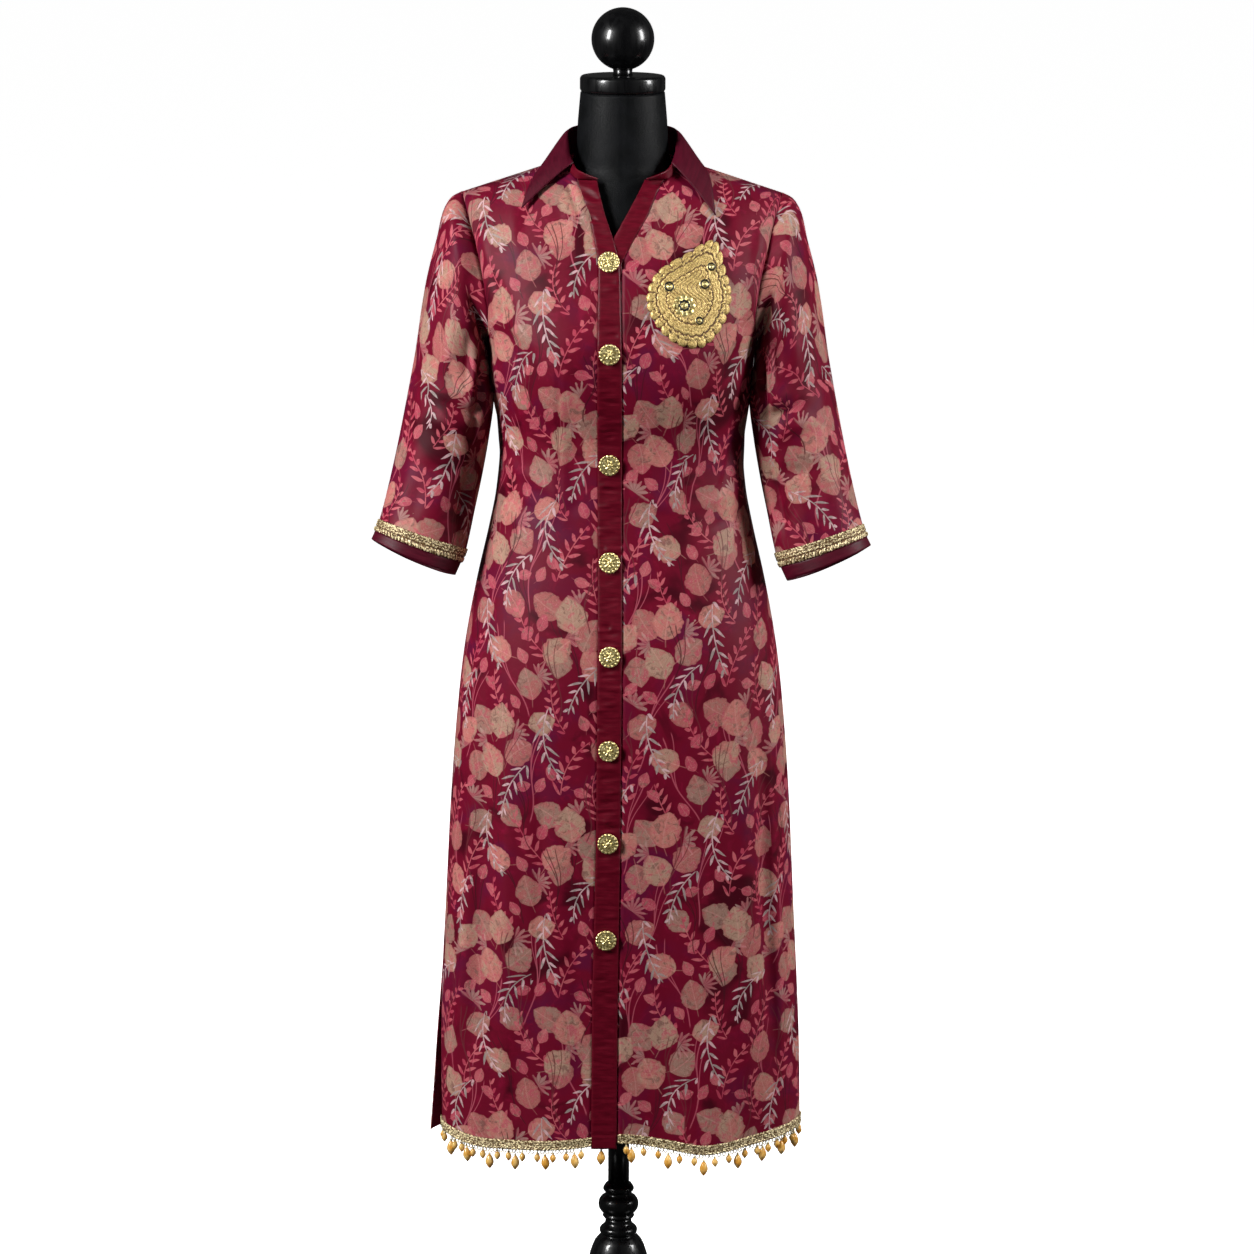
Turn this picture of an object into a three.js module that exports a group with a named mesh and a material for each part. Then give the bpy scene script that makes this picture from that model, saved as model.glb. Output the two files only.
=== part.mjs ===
// A long printed shirt, buttoned on a limbless dress form that stands on a turned column.
//
// Frame: millimetres, +Z up, +X to the wearer's left, the garment's front faces -Y.
// The origin is the centre of the stand's underside, on the floor.
//
// Every panel is a region of one body surface. Layers that lie on a panel use the panel's own
// points, moved out along the surface normal, so they follow it everywhere.

import * as THREE from 'three';

// ---------------------------------------------------------------- driving dimensions

const CLOTH = 1.2;            // wall of every cloth piece
const SEAM = 0.4;             // gap between two pieces that meet edge to edge
const LAYER = 0.3;            // gap under a piece that lies on another
const LAP = 0.5;              // gap between the two button bands
const PATCH_PAD = 1.2;        // the stitched padding that the patch stands on
const SEAM_HALF = 0.4;        // how far a side or shoulder edge stays from the seam's plane
const UNDERARM_Z = 1213;
const SHOULDER_X = 176;       // shoulder tip, from the centre
const NECK_X = 66;            // where the shoulder seam meets the neckline
const NECK_Z = 1408.5;
const SHOULDER_SLOPE = 0.33;
const NAPE_SLOPE = 0.7;       // the steeper rise of the back towards the nape
const NAPE_RISE = 6;          // how much higher the back neckline is at its centre
const FRONT_TURN_Z = 1262;    // where the front starts to round over to the shoulder
const BACK_TURN_Z = 1290;
const SLIT_TOP_Z = 520;
const BRAID_HEIGHT = 10.5;
const FRINGE_REACH = 27;
const FRINGE_THICK = 6;
const PLACKET_DROP = 3;       // the placket's end hangs this much below the hem
const BUTTON_R = 12.3;
const BUTTON_Z = [1303.6, 1209.4, 1085.1, 975.7, 872.8, 767.8, 662.4, 550.5];

// Body sections: half width, front depth, back depth and squareness (2 is an ellipse).
const SECTIONS = [
  { z: 300, half: 208.0, front: 95.0, back: 95.0, square: 2.3 },
  { z: 420, half: 204.7, front: 99.0, back: 98.0, square: 2.3 },
  { z: 560, half: 197.2, front: 106.0, back: 103.0, square: 2.3 },
  { z: 700, half: 190.0, front: 113.0, back: 108.0, square: 2.35 },
  { z: 800, half: 182.2, front: 116.0, back: 110.0, square: 2.4 },
  { z: 870, half: 174.0, front: 115.5, back: 109.0, square: 2.4 },
  { z: 940, half: 161.0, front: 109.0, back: 100.0, square: 2.35 },
  { z: 1000, half: 147.3, front: 103.0, back: 90.0, square: 2.3 },
  { z: 1045, half: 138.8, front: 101.0, back: 82.0, square: 2.3 },
  { z: 1100, half: 135.2, front: 104.0, back: 77.0, square: 2.35 },
  { z: 1160, half: 143.2, front: 119.0, back: 81.0, square: 2.55 },
  { z: 1213, half: 150.0, front: 125.0, back: 87.0, square: 2.65 },
  { z: 1240, half: 159.0, front: 121.5, back: 90.0, square: 2.65 },
  { z: 1285, half: 173.0, front: 108.5, back: 94.0, square: 2.6 },
  { z: 1340, half: 183.0, front: 98.0, back: 95.0, square: 2.6 },
  { z: 1412, half: 188.0, front: 97.0, back: 95.0, square: 2.6 },
];

// Fullness over the bust, one mound on each side.
const BUST = { x: 72, z: 1186, reachX: 40, reachZ: 46, rise: 7 };

// Largest soft folds of the skirt: where they lie at the hem, how wide and deep they are there,
// and the height at which they have died out.
const FOLDS = [
  { face: 'front', x: 95, reach: 36, rise: 9, top: 800 },
  { face: 'front', x: 158, reach: 22, rise: -4, top: 720 },
  { face: 'front', x: -70, reach: 34, rise: 4, top: 760 },
  { face: 'front', x: -140, reach: 28, rise: -4, top: 700 },
  { face: 'back', x: -90, reach: 40, rise: 8, top: 780 },
  { face: 'back', x: 10, reach: 42, rise: -5, top: 760 },
  { face: 'back', x: 105, reach: 36, rise: 7, top: 740 },
];

// Height of the hem's edge across the front and the back.
const FRONT_HEM = [
  { x: -208, z: 311.2 },
  { x: -182, z: 303.8 },
  { x: -154, z: 299.0 },
  { x: -115, z: 300.6 },
  { x: -45, z: 306.2 },
  { x: -22, z: 309.8 },
  { x: 10, z: 311.8 },
  { x: 55, z: 305.6 },
  { x: 99, z: 299.0 },
  { x: 160, z: 305.0 },
  { x: 208, z: 314.8 },
];
const BACK_HEM = [
  { x: -212, z: 294.5 },
  { x: -170, z: 300.0 },
  { x: 0, z: 304.0 },
  { x: 212, z: 301.0 },
];

// How far the side edges have moved at the hem, where the slits open.
const SLITS = [
  { side: -1, frontX: -8, frontY: -15, backX: 6.5, backY: 8 },
  { side: 1, frontX: -1.5, frontY: -8, backX: -1.0, backY: 8 },
];

// Armhole seam, by height along it: 0 is the underarm, 1 the shoulder tip.
const ARMHOLE = [
  { rise: 0, front: 150.0, back: 150.0 },
  { rise: 0.05, front: 147.6, back: 148.0 },
  { rise: 0.15, front: 146.3, back: 148.0 },
  { rise: 0.3, front: 149.0, back: 152.0 },
  { rise: 0.45, front: 153.0, back: 157.0 },
  { rise: 0.6, front: 158.0, back: 162.0 },
  { rise: 0.8, front: 167.0, back: 169.5 },
  { rise: 1, front: SHOULDER_X, back: SHOULDER_X },
];

// Button bands. "Over" is sewn to the wearer's right front and laps over "under", which is sewn
// to the left front. The seams join the bands to the fronts, the edges are free and form the V.
const BANDS = [
  { z: 1391, overSeam: -50.0, overEdge: -27.8, underEdge: 24.4, underSeam: 46.5 },
  { z: 1378, overSeam: -46.8, overEdge: -24.8, underEdge: 17.4, underSeam: 38.5 },
  { z: 1355, overSeam: -36.8, overEdge: -18.4, underEdge: 4.5, underSeam: 29.0 },
  { z: 1331, overSeam: -31.0, overEdge: -9.6, underEdge: -9.6, underSeam: 14.5 },
  { z: 1305, overSeam: -26.0, overEdge: -2.2, underEdge: -22.0, underSeam: 0.6 },
  { z: 1208, overSeam: -26.9, overEdge: 0.3, underEdge: -22.4, underSeam: 0.7 },
  { z: 900, overSeam: -25.4, overEdge: 1.9, underEdge: -21.0, underSeam: 2.3 },
  { z: 650, overSeam: -26.8, overEdge: 0.6, underEdge: -22.4, underSeam: 1.0 },
  { z: 480, overSeam: -30.6, overEdge: -1.6, underEdge: -26.0, underSeam: -1.2 },
  { z: 300, overSeam: -31.5, overEdge: -2.5, underEdge: -27.0, underSeam: -2.1 },
];
const LAP_TOP_Z = 1333;       // below this the over band lies on the under band
const LAP_RAMP = 20;

// Rows of every body panel. Below the armhole they count from the hem (-1) to the underarm (0),
// above it from the underarm to the shoulder seam (1).
const SKIRT_ROWS = [-0.9, -0.8, -0.7, -0.6, -0.5, -0.4, -0.31, -0.23, -0.16, -0.105, -0.06, -0.025, 0];
const HEM_TO_UNDERARM = UNDERARM_Z - 309;
const ARM_ROWS = [0.03, 0.12, 0.25, 0.43, 0.57, 0.69, 0.79, 0.886, 0.95, 1];
const NECK_ROW = 0.886;       // the row at which the front's inner edge leaves the band
const NECK_EDGE = [
  { rise: 0.95, x: 61.5 },
  { rise: 1, x: NECK_X },
];
const FRONT_COLUMNS = 8;
const BACK_COLUMNS = 16;

// Sleeve rings: outer and inner points, half depth front to back, and how far the ring nods, in
// degrees, so that its mouth looks forward.
const SLEEVE = [
  { outX: 189.5, outY: 0, outZ: 1363, inX: 151.4, inY: -3, inZ: 1209, depth: 64, nod: 0 },
  { outX: 198, outY: 1, outZ: 1348, inX: 151, inY: -7, inZ: 1204.5, depth: 64, nod: 0 },
  { outX: 204.5, outY: 2, outZ: 1320, inX: 150, inY: -13, inZ: 1198, depth: 64, nod: 0 },
  { outX: 211, outY: 4, outZ: 1291, inX: 148.2, inY: -19, inZ: 1189, depth: 63, nod: 0 },
  { outX: 218, outY: 5, outZ: 1254, inX: 145.6, inY: -25, inZ: 1173, depth: 61, nod: 1 },
  { outX: 228, outY: 4, outZ: 1198, inX: 141.6, inY: -30, inZ: 1145, depth: 57, nod: 4 },
  { outX: 240.5, outY: -3, outZ: 1131, inX: 147.2, inY: -22, inZ: 1101, depth: 53, nod: 8 },
  { outX: 250.5, outY: -11, outZ: 1081, inX: 154, inY: -20, inZ: 1059, depth: 50, nod: 11 },
  { outX: 259.5, outY: -19.5, outZ: 1041, inX: 161.8, inY: -22.5, inZ: 1022, depth: 47, nod: 14 },
  { outX: 266.7, outY: -29.5, outZ: 1013.5, inX: 171.8, inY: -29.5, inZ: 975.5, depth: 44, nod: 17 },
  { outX: 271.5, outY: -32.8, outZ: 1001, inX: 177.3, inY: -32.8, inZ: 961.5, depth: 43.2, nod: 18 },
  { outX: 277, outY: -36.5, outZ: 987, inX: 184, inY: -36.5, inZ: 947, depth: 42.5, nod: 18.5 },
];
const CUFF_DROP = 2.5;        // the wearer's left cuff hangs this much lower, the right higher
const CUFF_DROP_ROW = 5;      // the ring below which that grows
const TRIM_ROW = 9;           // sleeve ring at the braid's upper edge
const CUFF_ROW = 10;          // sleeve ring at the cuff seam
const SLEEVE_SQUARE = 2.2;
const ARMHOLE_STEP = 0.7;     // gap from the armhole's edge to the sleeve

// Collar, half of it, from the centre back to the front: the neckline it stands on, its roll
// line, and the free edge of the turned-down fall, which ends at the point.
const COLLAR = [
  { neckX: 0, face: 'back', rollX: 0, rollY: 57, rollZ: 1443, edgeX: 0, edgeY: 77, edgeZ: 1401 },
  { neckX: 28, face: 'back', rollX: 28, rollY: 51, rollZ: 1442.5, edgeX: 38, edgeY: 70, edgeZ: 1401 },
  { neckX: 48, face: 'back', rollX: 47, rollY: 36, rollZ: 1441.5, edgeX: 63, edgeY: 50, edgeZ: 1402 },
  { neckX: 60, face: 'back', rollX: 58, rollY: 17, rollZ: 1440, edgeX: 78, edgeY: 22, edgeZ: 1404.5 },
  { neckX: 66, face: 'front', rollX: 61, rollY: -2, rollZ: 1437, edgeX: 85.5, edgeY: -6, edgeZ: 1404 },
  { neckX: 64, face: 'front', rollX: 60, rollY: -17, rollZ: 1427, edgeX: 94, edgeY: -30, edgeZ: 1396 },
  { neckX: 61.5, face: 'front', rollX: 58, rollY: -31, rollZ: 1416.5, edgeX: 102, edgeY: -50, edgeZ: 1381 },
  { neckX: 56.5, face: 'front', rollX: 54.5, rollY: -43, rollZ: 1407.5, edgeX: 109, edgeY: -64, edgeZ: 1361 },
  { neckX: 50.4, face: 'front', rollX: 49.5, rollY: -52.5, rollZ: 1402 },
  { neckX: 42.5, face: 'front', rollX: 42.5, rollY: -60.5, rollZ: 1398.5 },
];
const FALL_END = 7;           // the row at which the fall's front edge lies
// The wearer's left point sits nearer the middle and lower; the shift fades out over two rows.
const LEFT_POINT = { x: -8, y: -2, z: -6.5, rows: 2 };
const FRONT_NECKLINE = [
  { x: 42.5, z: 1391.5 },
  { x: 50.4, z: 1391.5 },
  { x: 56.5, z: 1396.4 },
  { x: 61.5, z: 1400.4 },
  { x: 64, z: 1404.5 },
  { x: NECK_X, z: NECK_Z },
];
const COLLAR_LIFT = 1.0;
const FALL_BULGE = 1;

// Chest ornament: a drop-shaped patch with a scalloped rim, its tip towards the shoulder. The
// outline is counted from the patch's middle.
const PATCH = { x: 73, z: 1270, scallops: 22, scallop: 0.03 };
const PATCH_OUTLINE = [
  { x: 27, z: 57 },
  { x: 39, z: 27 },
  { x: 45, z: -2 },
  { x: 37, z: -30 },
  { x: 15, z: -53 },
  { x: -14, z: -49 },
  { x: -36, z: -29 },
  { x: -46, z: -4 },
  { x: -36, z: 24 },
  { x: -4, z: 44 },
];

// Dress form: how far it stays inside the cloth, by height, and its neck.
const FORM_BOTTOM_Z = 705;
const FORM_TOP_Z = 1482;
const FORM_SHOULDER_DROP = 12;
const FORM_RINGS = [
  { z: 705, inset: 34 },
  { z: 710, inset: 24 },
  { z: 724, inset: 17 },
  { z: 790, inset: 13 },
  { z: 860, inset: 11 },
  { z: 930, inset: 10 },
  { z: 1000, inset: 9 },
  { z: 1060, inset: 8 },
  { z: 1118, inset: 7.5 },
  { z: 1159, inset: 7 },
  { z: 1190, inset: 7 },
  { z: 1230, inset: 7 },
  { z: 1270, inset: 7 },
  { z: 1310, inset: 7 },
  { z: 1345, inset: 8 },
  { z: 1370, inset: 8.3 },
  { z: 1388, inset: 8.3 },
  { z: 1402, inset: 4.6 },
  { z: 1418, inset: 7 },
  { z: 1450, inset: 7 },
  { z: 1482, inset: 7 },
];
const FORM_NECK = [
  { z: 705, radius: 1 },
  { z: 1300, radius: 40 },
  { z: 1380, radius: 50.5 },
  { z: 1415, radius: 51.0 },
  { z: 1452, radius: 49.0 },
  { z: 1482, radius: 46.4 },
];
const FORM_SIDES = 26;

// Stand: turned profiles as radius and height, from the bottom to the top of each piece.
const REST_GAP = 0.3;
const BASE_R = 210;
const BASE_TOP_Z = 26;
const HUB_TOP_Z = 40;
const CAP = { radius: 47, bottom: FORM_TOP_Z + REST_GAP, top: 1500.6, edge: 2.5 };
const STEM = { radius: 11, top: 1507 };
const BALL = { radius: 34.5, z: 1540 };
const POLE = { radius: 12.1, bottom: 236.3 };
const KNOB_TOP_Z = 236;
const COLUMN_TOP_Z = 195.7;

// ---------------------------------------------------------------- tables

function spot(rows, by, at) {
  const sign = rows[1][by] > rows[0][by] ? 1 : -1;
  let i = 0;
  while (i < rows.length - 2 && (at - rows[i + 1][by]) * sign > 0) i += 1;
  const t = (at - rows[i][by]) / (rows[i + 1][by] - rows[i][by]);
  return { i, t: Math.min(1, Math.max(0, t)) };
}

function straight(rows, by, key, at) {
  const { i, t } = spot(rows, by, at);
  return rows[i][key] + (rows[i + 1][key] - rows[i][key]) * t;
}

// A smooth curve through the rows, with the slope at each row taken from its neighbours.
function smooth(rows, by, key, at) {
  const { i, t } = spot(rows, by, at);
  const slope = (k) => {
    const a = rows[Math.max(0, k - 1)];
    const b = rows[Math.min(rows.length - 1, k + 1)];
    return (b[key] - a[key]) / (b[by] - a[by]);
  };
  const span = rows[i + 1][by] - rows[i][by];
  const t2 = t * t;
  const t3 = t2 * t;
  return (2 * t3 - 3 * t2 + 1) * rows[i][key] + (t3 - 2 * t2 + t) * span * slope(i)
    + (3 * t2 - 2 * t3) * rows[i + 1][key] + (t3 - t2) * span * slope(i + 1);
}

const mix = (a, b, t) => a + (b - a) * t;

// ---------------------------------------------------------------- body surface

function shoulderZ(x, face) {
  const inside = NECK_X - Math.abs(x);
  return NECK_Z + inside * (face === 'back' && inside > 0 ? NAPE_SLOPE : SHOULDER_SLOPE);
}

// 1 below the shoulders, falling to 0 along the shoulder line.
function shoulderTurn(x, z, face, drop) {
  const start = face === 'back' ? BACK_TURN_Z : FRONT_TURN_Z;
  const t = (z - start) / (shoulderZ(x, face) - drop - start);
  return t <= 0 ? 1 : Math.sqrt(Math.max(0, 1 - t * t));
}

function bust(x, z) {
  const across = (Math.abs(x) - BUST.x) / BUST.reachX;
  const up = (z - BUST.z) / BUST.reachZ;
  return BUST.rise * Math.exp(-across * across - up * up);
}

function folds(x, z, face) {
  let depth = 0;
  for (const f of FOLDS) {
    const fade = Math.min(1, Math.max(0, (f.top - z) / (f.top - 309)));
    const across = (x - f.x) / f.reach;
    if (f.face === face) depth += f.rise * fade * fade * Math.exp(-across * across);
  }
  return depth;
}

// Distance of the body surface from the XZ plane.
function bodyDepth(x, z, face, drop = 0) {
  const half = smooth(SECTIONS, 'z', 'half', z);
  const square = smooth(SECTIONS, 'z', 'square', z);
  const across = Math.min(1, Math.abs(x) / half) ** square;
  const round = (1 - across) ** (1 / square);
  const depth = smooth(SECTIONS, 'z', face, z) + (face === 'front' ? bust(x, z) : 0);
  return depth * round * shoulderTurn(x, z, face, drop);
}

// The cloth adds the skirt's folds, which die out at the side seams.
function clothDepth(x, z, face) {
  const half = smooth(SECTIONS, 'z', 'half', z);
  const inner = 1 - Math.min(1, Math.abs(x) / half) ** 6;
  return bodyDepth(x, z, face) + folds(x, z, face) * inner;
}

// A point of the cloth's outer surface with its outward normal.
function clothPoint(x, z, face) {
  const sign = face === 'front' ? -1 : 1;
  const d = 0.5;
  const slopeX = (clothDepth(x + d, z, face) - clothDepth(x - d, z, face)) / (2 * d);
  const slopeZ = (clothDepth(x, z + d, face) - clothDepth(x, z - d, face)) / (2 * d);
  const y = sign * Math.max(SEAM_HALF, clothDepth(x, z, face));
  return { p: new THREE.Vector3(x, y, z), n: new THREE.Vector3(-slopeX, sign, -slopeZ).normalize() };
}

// ---------------------------------------------------------------- panels

function panelRows(withBraid) {
  const braid = withBraid ? [-1 + BRAID_HEIGHT / HEM_TO_UNDERARM] : [];
  return [-1, ...braid, ...SKIRT_ROWS, ...ARM_ROWS];
}

function topZ(x, face) {
  const inside = Math.max(0, 1 - (x / NECK_X) ** 2);
  return face === 'back' && Math.abs(x) < NECK_X ? NECK_Z + NAPE_RISE * inside : shoulderZ(x, face);
}

function rowZ(x, row, face) {
  const hem = smooth(face === 'front' ? FRONT_HEM : BACK_HEM, 'x', 'z', x);
  return row <= 0 ? mix(hem, UNDERARM_Z, row + 1) : mix(UNDERARM_Z, topZ(x, face), row);
}

function sideX(row, face, z) {
  return row <= 0 ? smooth(SECTIONS, 'z', 'half', z) : smooth(ARMHOLE, 'rise', face, row);
}

// The front's inner edge: the band's seam, and above it the neckline.
function frontInnerX(side, row) {
  const key = side < 0 ? 'overSeam' : 'underSeam';
  let x = 0;
  for (let i = 0; i < 4; i += 1) {
    x = straight(BANDS, 'z', key, rowZ(x, Math.min(row, NECK_ROW), 'front'));
  }
  const edge = [{ rise: NECK_ROW, x: Math.abs(x) }, ...NECK_EDGE];
  return row <= NECK_ROW ? x : side * straight(edge, 'rise', 'x', row);
}

// Where the side slits open, the side edges have moved apart.
function openSlit(point, side, face, near) {
  const open = Math.max(0, (SLIT_TOP_Z - point.p.z) / (SLIT_TOP_Z - 309)) ** 1.4;
  const slit = SLITS.find((s) => s.side === side);
  const weight = open * near ** 4;
  point.p.x += side * slit[`${face}X`] * weight;
  point.p.y += slit[`${face}Y`] * weight;
  return point;
}

function panelPoint(x0, side, face, row, across) {
  let x = side * sideX(row, face, UNDERARM_Z);
  let z = rowZ(x, row, face);
  for (let i = 0; i < 3; i += 1) {
    const edge = side * sideX(row, face, z);
    x = mix(x0, edge, Math.sin(across * Math.PI / 2));
    z = rowZ(x, row, face);
  }
  return openSlit(clothPoint(x, z, face), side, face, across);
}

const frontPoint = (side, row, across) =>
  panelPoint(frontInnerX(side, row), side, 'front', row, across);
const backPoint = (row, across) =>
  panelPoint(0, across < 0 ? -1 : 1, 'back', row, Math.abs(across));

// The point of a panel's own facets above (x, z), so that what lies on the panel meets it evenly.
function onPanel(grid, x, z) {
  const at = new THREE.Vector3(x, 0, z);
  const flat = (g) => new THREE.Vector3(g.p.x, 0, g.p.z);
  for (let i = 0; i < grid.length - 1; i += 1) {
    for (let j = 0; j < grid[i].length - 1; j += 1) {
      const [a, b, c, d] = [grid[i][j], grid[i][j + 1], grid[i + 1][j + 1], grid[i + 1][j]];
      for (const corners of [[a, b, c], [a, c, d]]) {
        const triangle = new THREE.Triangle(...corners.map(flat));
        const share = triangle.getBarycoord(at, new THREE.Vector3());
        if (share && Math.min(...share) >= -1e-6) {
          const blend = (key) => corners.reduce(
            (sum, g, k) => sum.addScaledVector(g[key], share.getComponent(k)), new THREE.Vector3());
          return { p: blend('p'), n: blend('n').normalize() };
        }
      }
    }
  }
  throw new Error(`no facet at ${x}, ${z}`);
}

// ---------------------------------------------------------------- solids

// A closed solid from corner points and triangles, turned so that its faces point out.
function solid(points, triangles) {
  let volume = 0;
  for (const [a, b, c] of triangles) {
    volume += points[a].dot(new THREE.Vector3().crossVectors(points[b], points[c]));
  }
  const geometry = new THREE.BufferGeometry();
  const index = triangles.flatMap(([a, b, c]) => (volume < 0 ? [a, c, b] : [a, b, c]));
  geometry.setAttribute('position', new THREE.Float32BufferAttribute(points.flatMap((p) => [...p]), 3));
  geometry.setIndex(index);
  return geometry;
}

// A wall between two offsets of a grid of surface points. A closed grid runs round a tube.
function wall(grid, inner, outer, closed = false) {
  const rows = grid.length;
  const columns = grid[0].length;
  const offset = (g, d) => g.p.clone().addScaledVector(g.n, typeof d === 'function' ? d(g.p) : d);
  const points = [outer, inner].flatMap((d) => grid.flatMap((row) => row.map((g) => offset(g, d))));
  const at = (skin, i, j) => skin * rows * columns + i * columns + (j % columns);
  const triangles = [];
  const quad = (a, b, c, d) => triangles.push([a, b, c], [a, c, d]);
  const spans = closed ? columns : columns - 1;
  for (let i = 0; i < rows - 1; i += 1) {
    for (let j = 0; j < spans; j += 1) {
      quad(at(0, i, j), at(0, i, j + 1), at(0, i + 1, j + 1), at(0, i + 1, j));
      quad(at(1, i, j), at(1, i + 1, j), at(1, i + 1, j + 1), at(1, i, j + 1));
    }
  }
  for (let j = 0; j < spans; j += 1) {
    quad(at(0, 0, j + 1), at(0, 0, j), at(1, 0, j), at(1, 0, j + 1));
    quad(at(0, rows - 1, j), at(0, rows - 1, j + 1), at(1, rows - 1, j + 1), at(1, rows - 1, j));
  }
  for (let i = 0; !closed && i < rows - 1; i += 1) {
    quad(at(0, i, 0), at(0, i + 1, 0), at(1, i + 1, 0), at(1, i, 0));
    quad(at(0, i + 1, columns - 1), at(0, i, columns - 1), at(1, i, columns - 1), at(1, i + 1, columns - 1));
  }
  return solid(points, triangles);
}

// Normals of a grid that has only points, from each point's neighbours.
function withNormals(grid, closed, outward) {
  return grid.map((row, i) => row.map((p, j) => {
    const n = row.length;
    const left = closed ? row[(j + n - 1) % n] : row[Math.max(0, j - 1)];
    const right = closed ? row[(j + 1) % n] : row[Math.min(n - 1, j + 1)];
    const below = grid[Math.max(0, i - 1)][j];
    const above = grid[Math.min(grid.length - 1, i + 1)][j];
    const along = new THREE.Vector3().subVectors(right, left);
    const up = new THREE.Vector3().subVectors(above, below);
    const normal = new THREE.Vector3().crossVectors(along, up).normalize();
    return { p, n: normal.multiplyScalar(outward) };
  }));
}

// Rings of equal length closed at both ends by their centres.
function ringSolid(rings) {
  const count = rings[0].length;
  const points = rings.flat();
  const triangles = [];
  rings.slice(1).forEach((_, i) => {
    for (let j = 0; j < count; j += 1) {
      const k = (j + 1) % count;
      const a = i * count;
      const b = a + count;
      triangles.push([a + j, a + k, b + k], [a + j, b + k, b + j]);
    }
  });
  [rings[0], rings[rings.length - 1]].forEach((ring, end) => {
    const middle = new THREE.Vector3();
    ring.forEach((p) => middle.addScaledVector(p, 1 / count));
    const start = end * (rings.length - 1) * count;
    points.push(middle);
    for (let j = 0; j < count; j += 1) {
      const side = [start + j, start + (j + 1) % count];
      triangles.push([points.length - 1, side[1 - end], side[end]]);
    }
  });
  return solid(points, triangles);
}

// A turned piece from [radius, height] pairs, closed on the axis at both ends.
function turned(profile, sides) {
  const first = [0, profile[0][1]];
  const last = [0, profile[profile.length - 1][1]];
  const points = [first, ...profile, last].map(([r, z]) => new THREE.Vector2(r, z));
  return new THREE.LatheGeometry(points, sides).rotateX(Math.PI / 2);
}

// ---------------------------------------------------------------- materials

const finish = (color, roughness, metalness = 0) =>
  new THREE.MeshStandardMaterial({ color, roughness, metalness });
const printed = finish(0x7d1a33, 0.75);
const satin = finish(0x6e0f26, 0.45);
const gold = finish(0xb08d4e, 0.45, 0.6);
const beads = finish(0xd79a35, 0.3);
const buttonGold = finish(0xd9cf8c, 0.35, 0.7);
const covered = finish(0x17181a, 0.6);
const lacquer = finish(0x0b0b0c, 0.15);

const shirt = new THREE.Group();
const stand = new THREE.Group();

function add(group, name, geometry, material) {
  const mesh = new THREE.Mesh(geometry, material);
  mesh.name = name;
  group.add(mesh);
  return mesh;
}

// ---------------------------------------------------------------- fronts, back, braid, fringe

function acrossSteps(columns, from = 0) {
  return Array.from({ length: columns + 1 }, (_, j) => mix(from, 1, j / columns));
}

const fronts = {};
for (const [name, side] of [['right', -1], ['left', 1]]) {
  const steps = acrossSteps(FRONT_COLUMNS);
  const grid = panelRows(true).map((row) => steps.map((s) => frontPoint(side, row, s)));
  fronts[name] = grid;
  add(shirt, `front_${name}`, wall(grid, -CLOTH, 0), printed);
  add(shirt, `hem_braid_${name}`, wall(grid.slice(0, 2), LAYER, LAYER + CLOTH), gold);

  const level = (g, drop) => ({
    p: g.p.clone().setZ(g.p.z - drop),
    n: g.n.clone().setZ(0).normalize(),
  });
  const fringe = [FRINGE_REACH, 2 * SEAM].map((drop) => grid[0].map((g) => level(g, drop)));
  const middle = -CLOTH / 2;
  add(shirt, `fringe_${name}`,
    wall(fringe, middle - FRINGE_THICK / 2, middle + FRINGE_THICK / 2), beads);
}

const backSteps = acrossSteps(BACK_COLUMNS, -1);
const backGrid = panelRows(false).map((row) => backSteps.map((s) => backPoint(row, s)));
add(shirt, 'back', wall(backGrid, -CLOTH, 0), printed);

// ---------------------------------------------------------------- button bands

// A band's rows match those of the front it is sewn to, from the hem to the neckline.
function bandGrid(side, edgeKey, drop) {
  return panelRows(true).filter((row) => row <= NECK_ROW).map((row) => {
    const seamX = frontInnerX(side, row);
    const z = rowZ(seamX, row, 'front') - (row === -1 ? drop : 0);
    const from = seamX - side * SEAM;
    const edge = straight(BANDS, 'z', edgeKey, z);
    return [0, 0.5, 1].map((t) => clothPoint(mix(from, edge, t), z, 'front'));
  });
}

const lap = (p) => mix(-CLOTH, LAP, Math.min(1, Math.max(0, (LAP_TOP_Z + LAP_RAMP - p.z) / LAP_RAMP)));
const overBand = bandGrid(-1, 'overEdge', PLACKET_DROP);
add(shirt, 'placket_over', wall(overBand, lap, (p) => lap(p) + CLOTH), satin);
add(shirt, 'placket_under', wall(bandGrid(1, 'underEdge', 0), -CLOTH, 0), satin);

// ---------------------------------------------------------------- sleeves and cuffs

// Angles round a sleeve, matched to the armhole's rows: 0 at the shoulder, then to the front.
const ringStops = [
  ...[...ARM_ROWS].reverse().map((rise) => ({ rise, face: 'front' })),
  { rise: 0, face: 'front' },
  ...ARM_ROWS.slice(0, -1).map((rise) => ({ rise, face: 'back' })),
];

function armholeRing(side) {
  return ringStops.map(({ rise, face }) => {
    const x = side * smooth(ARMHOLE, 'rise', face, rise);
    const point = clothPoint(x, rowZ(x, rise, face), face).p;
    if (rise === 0 || rise === 1) point.y = 0;
    return point.setX(point.x + side * ARMHOLE_STEP);
  });
}

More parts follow.
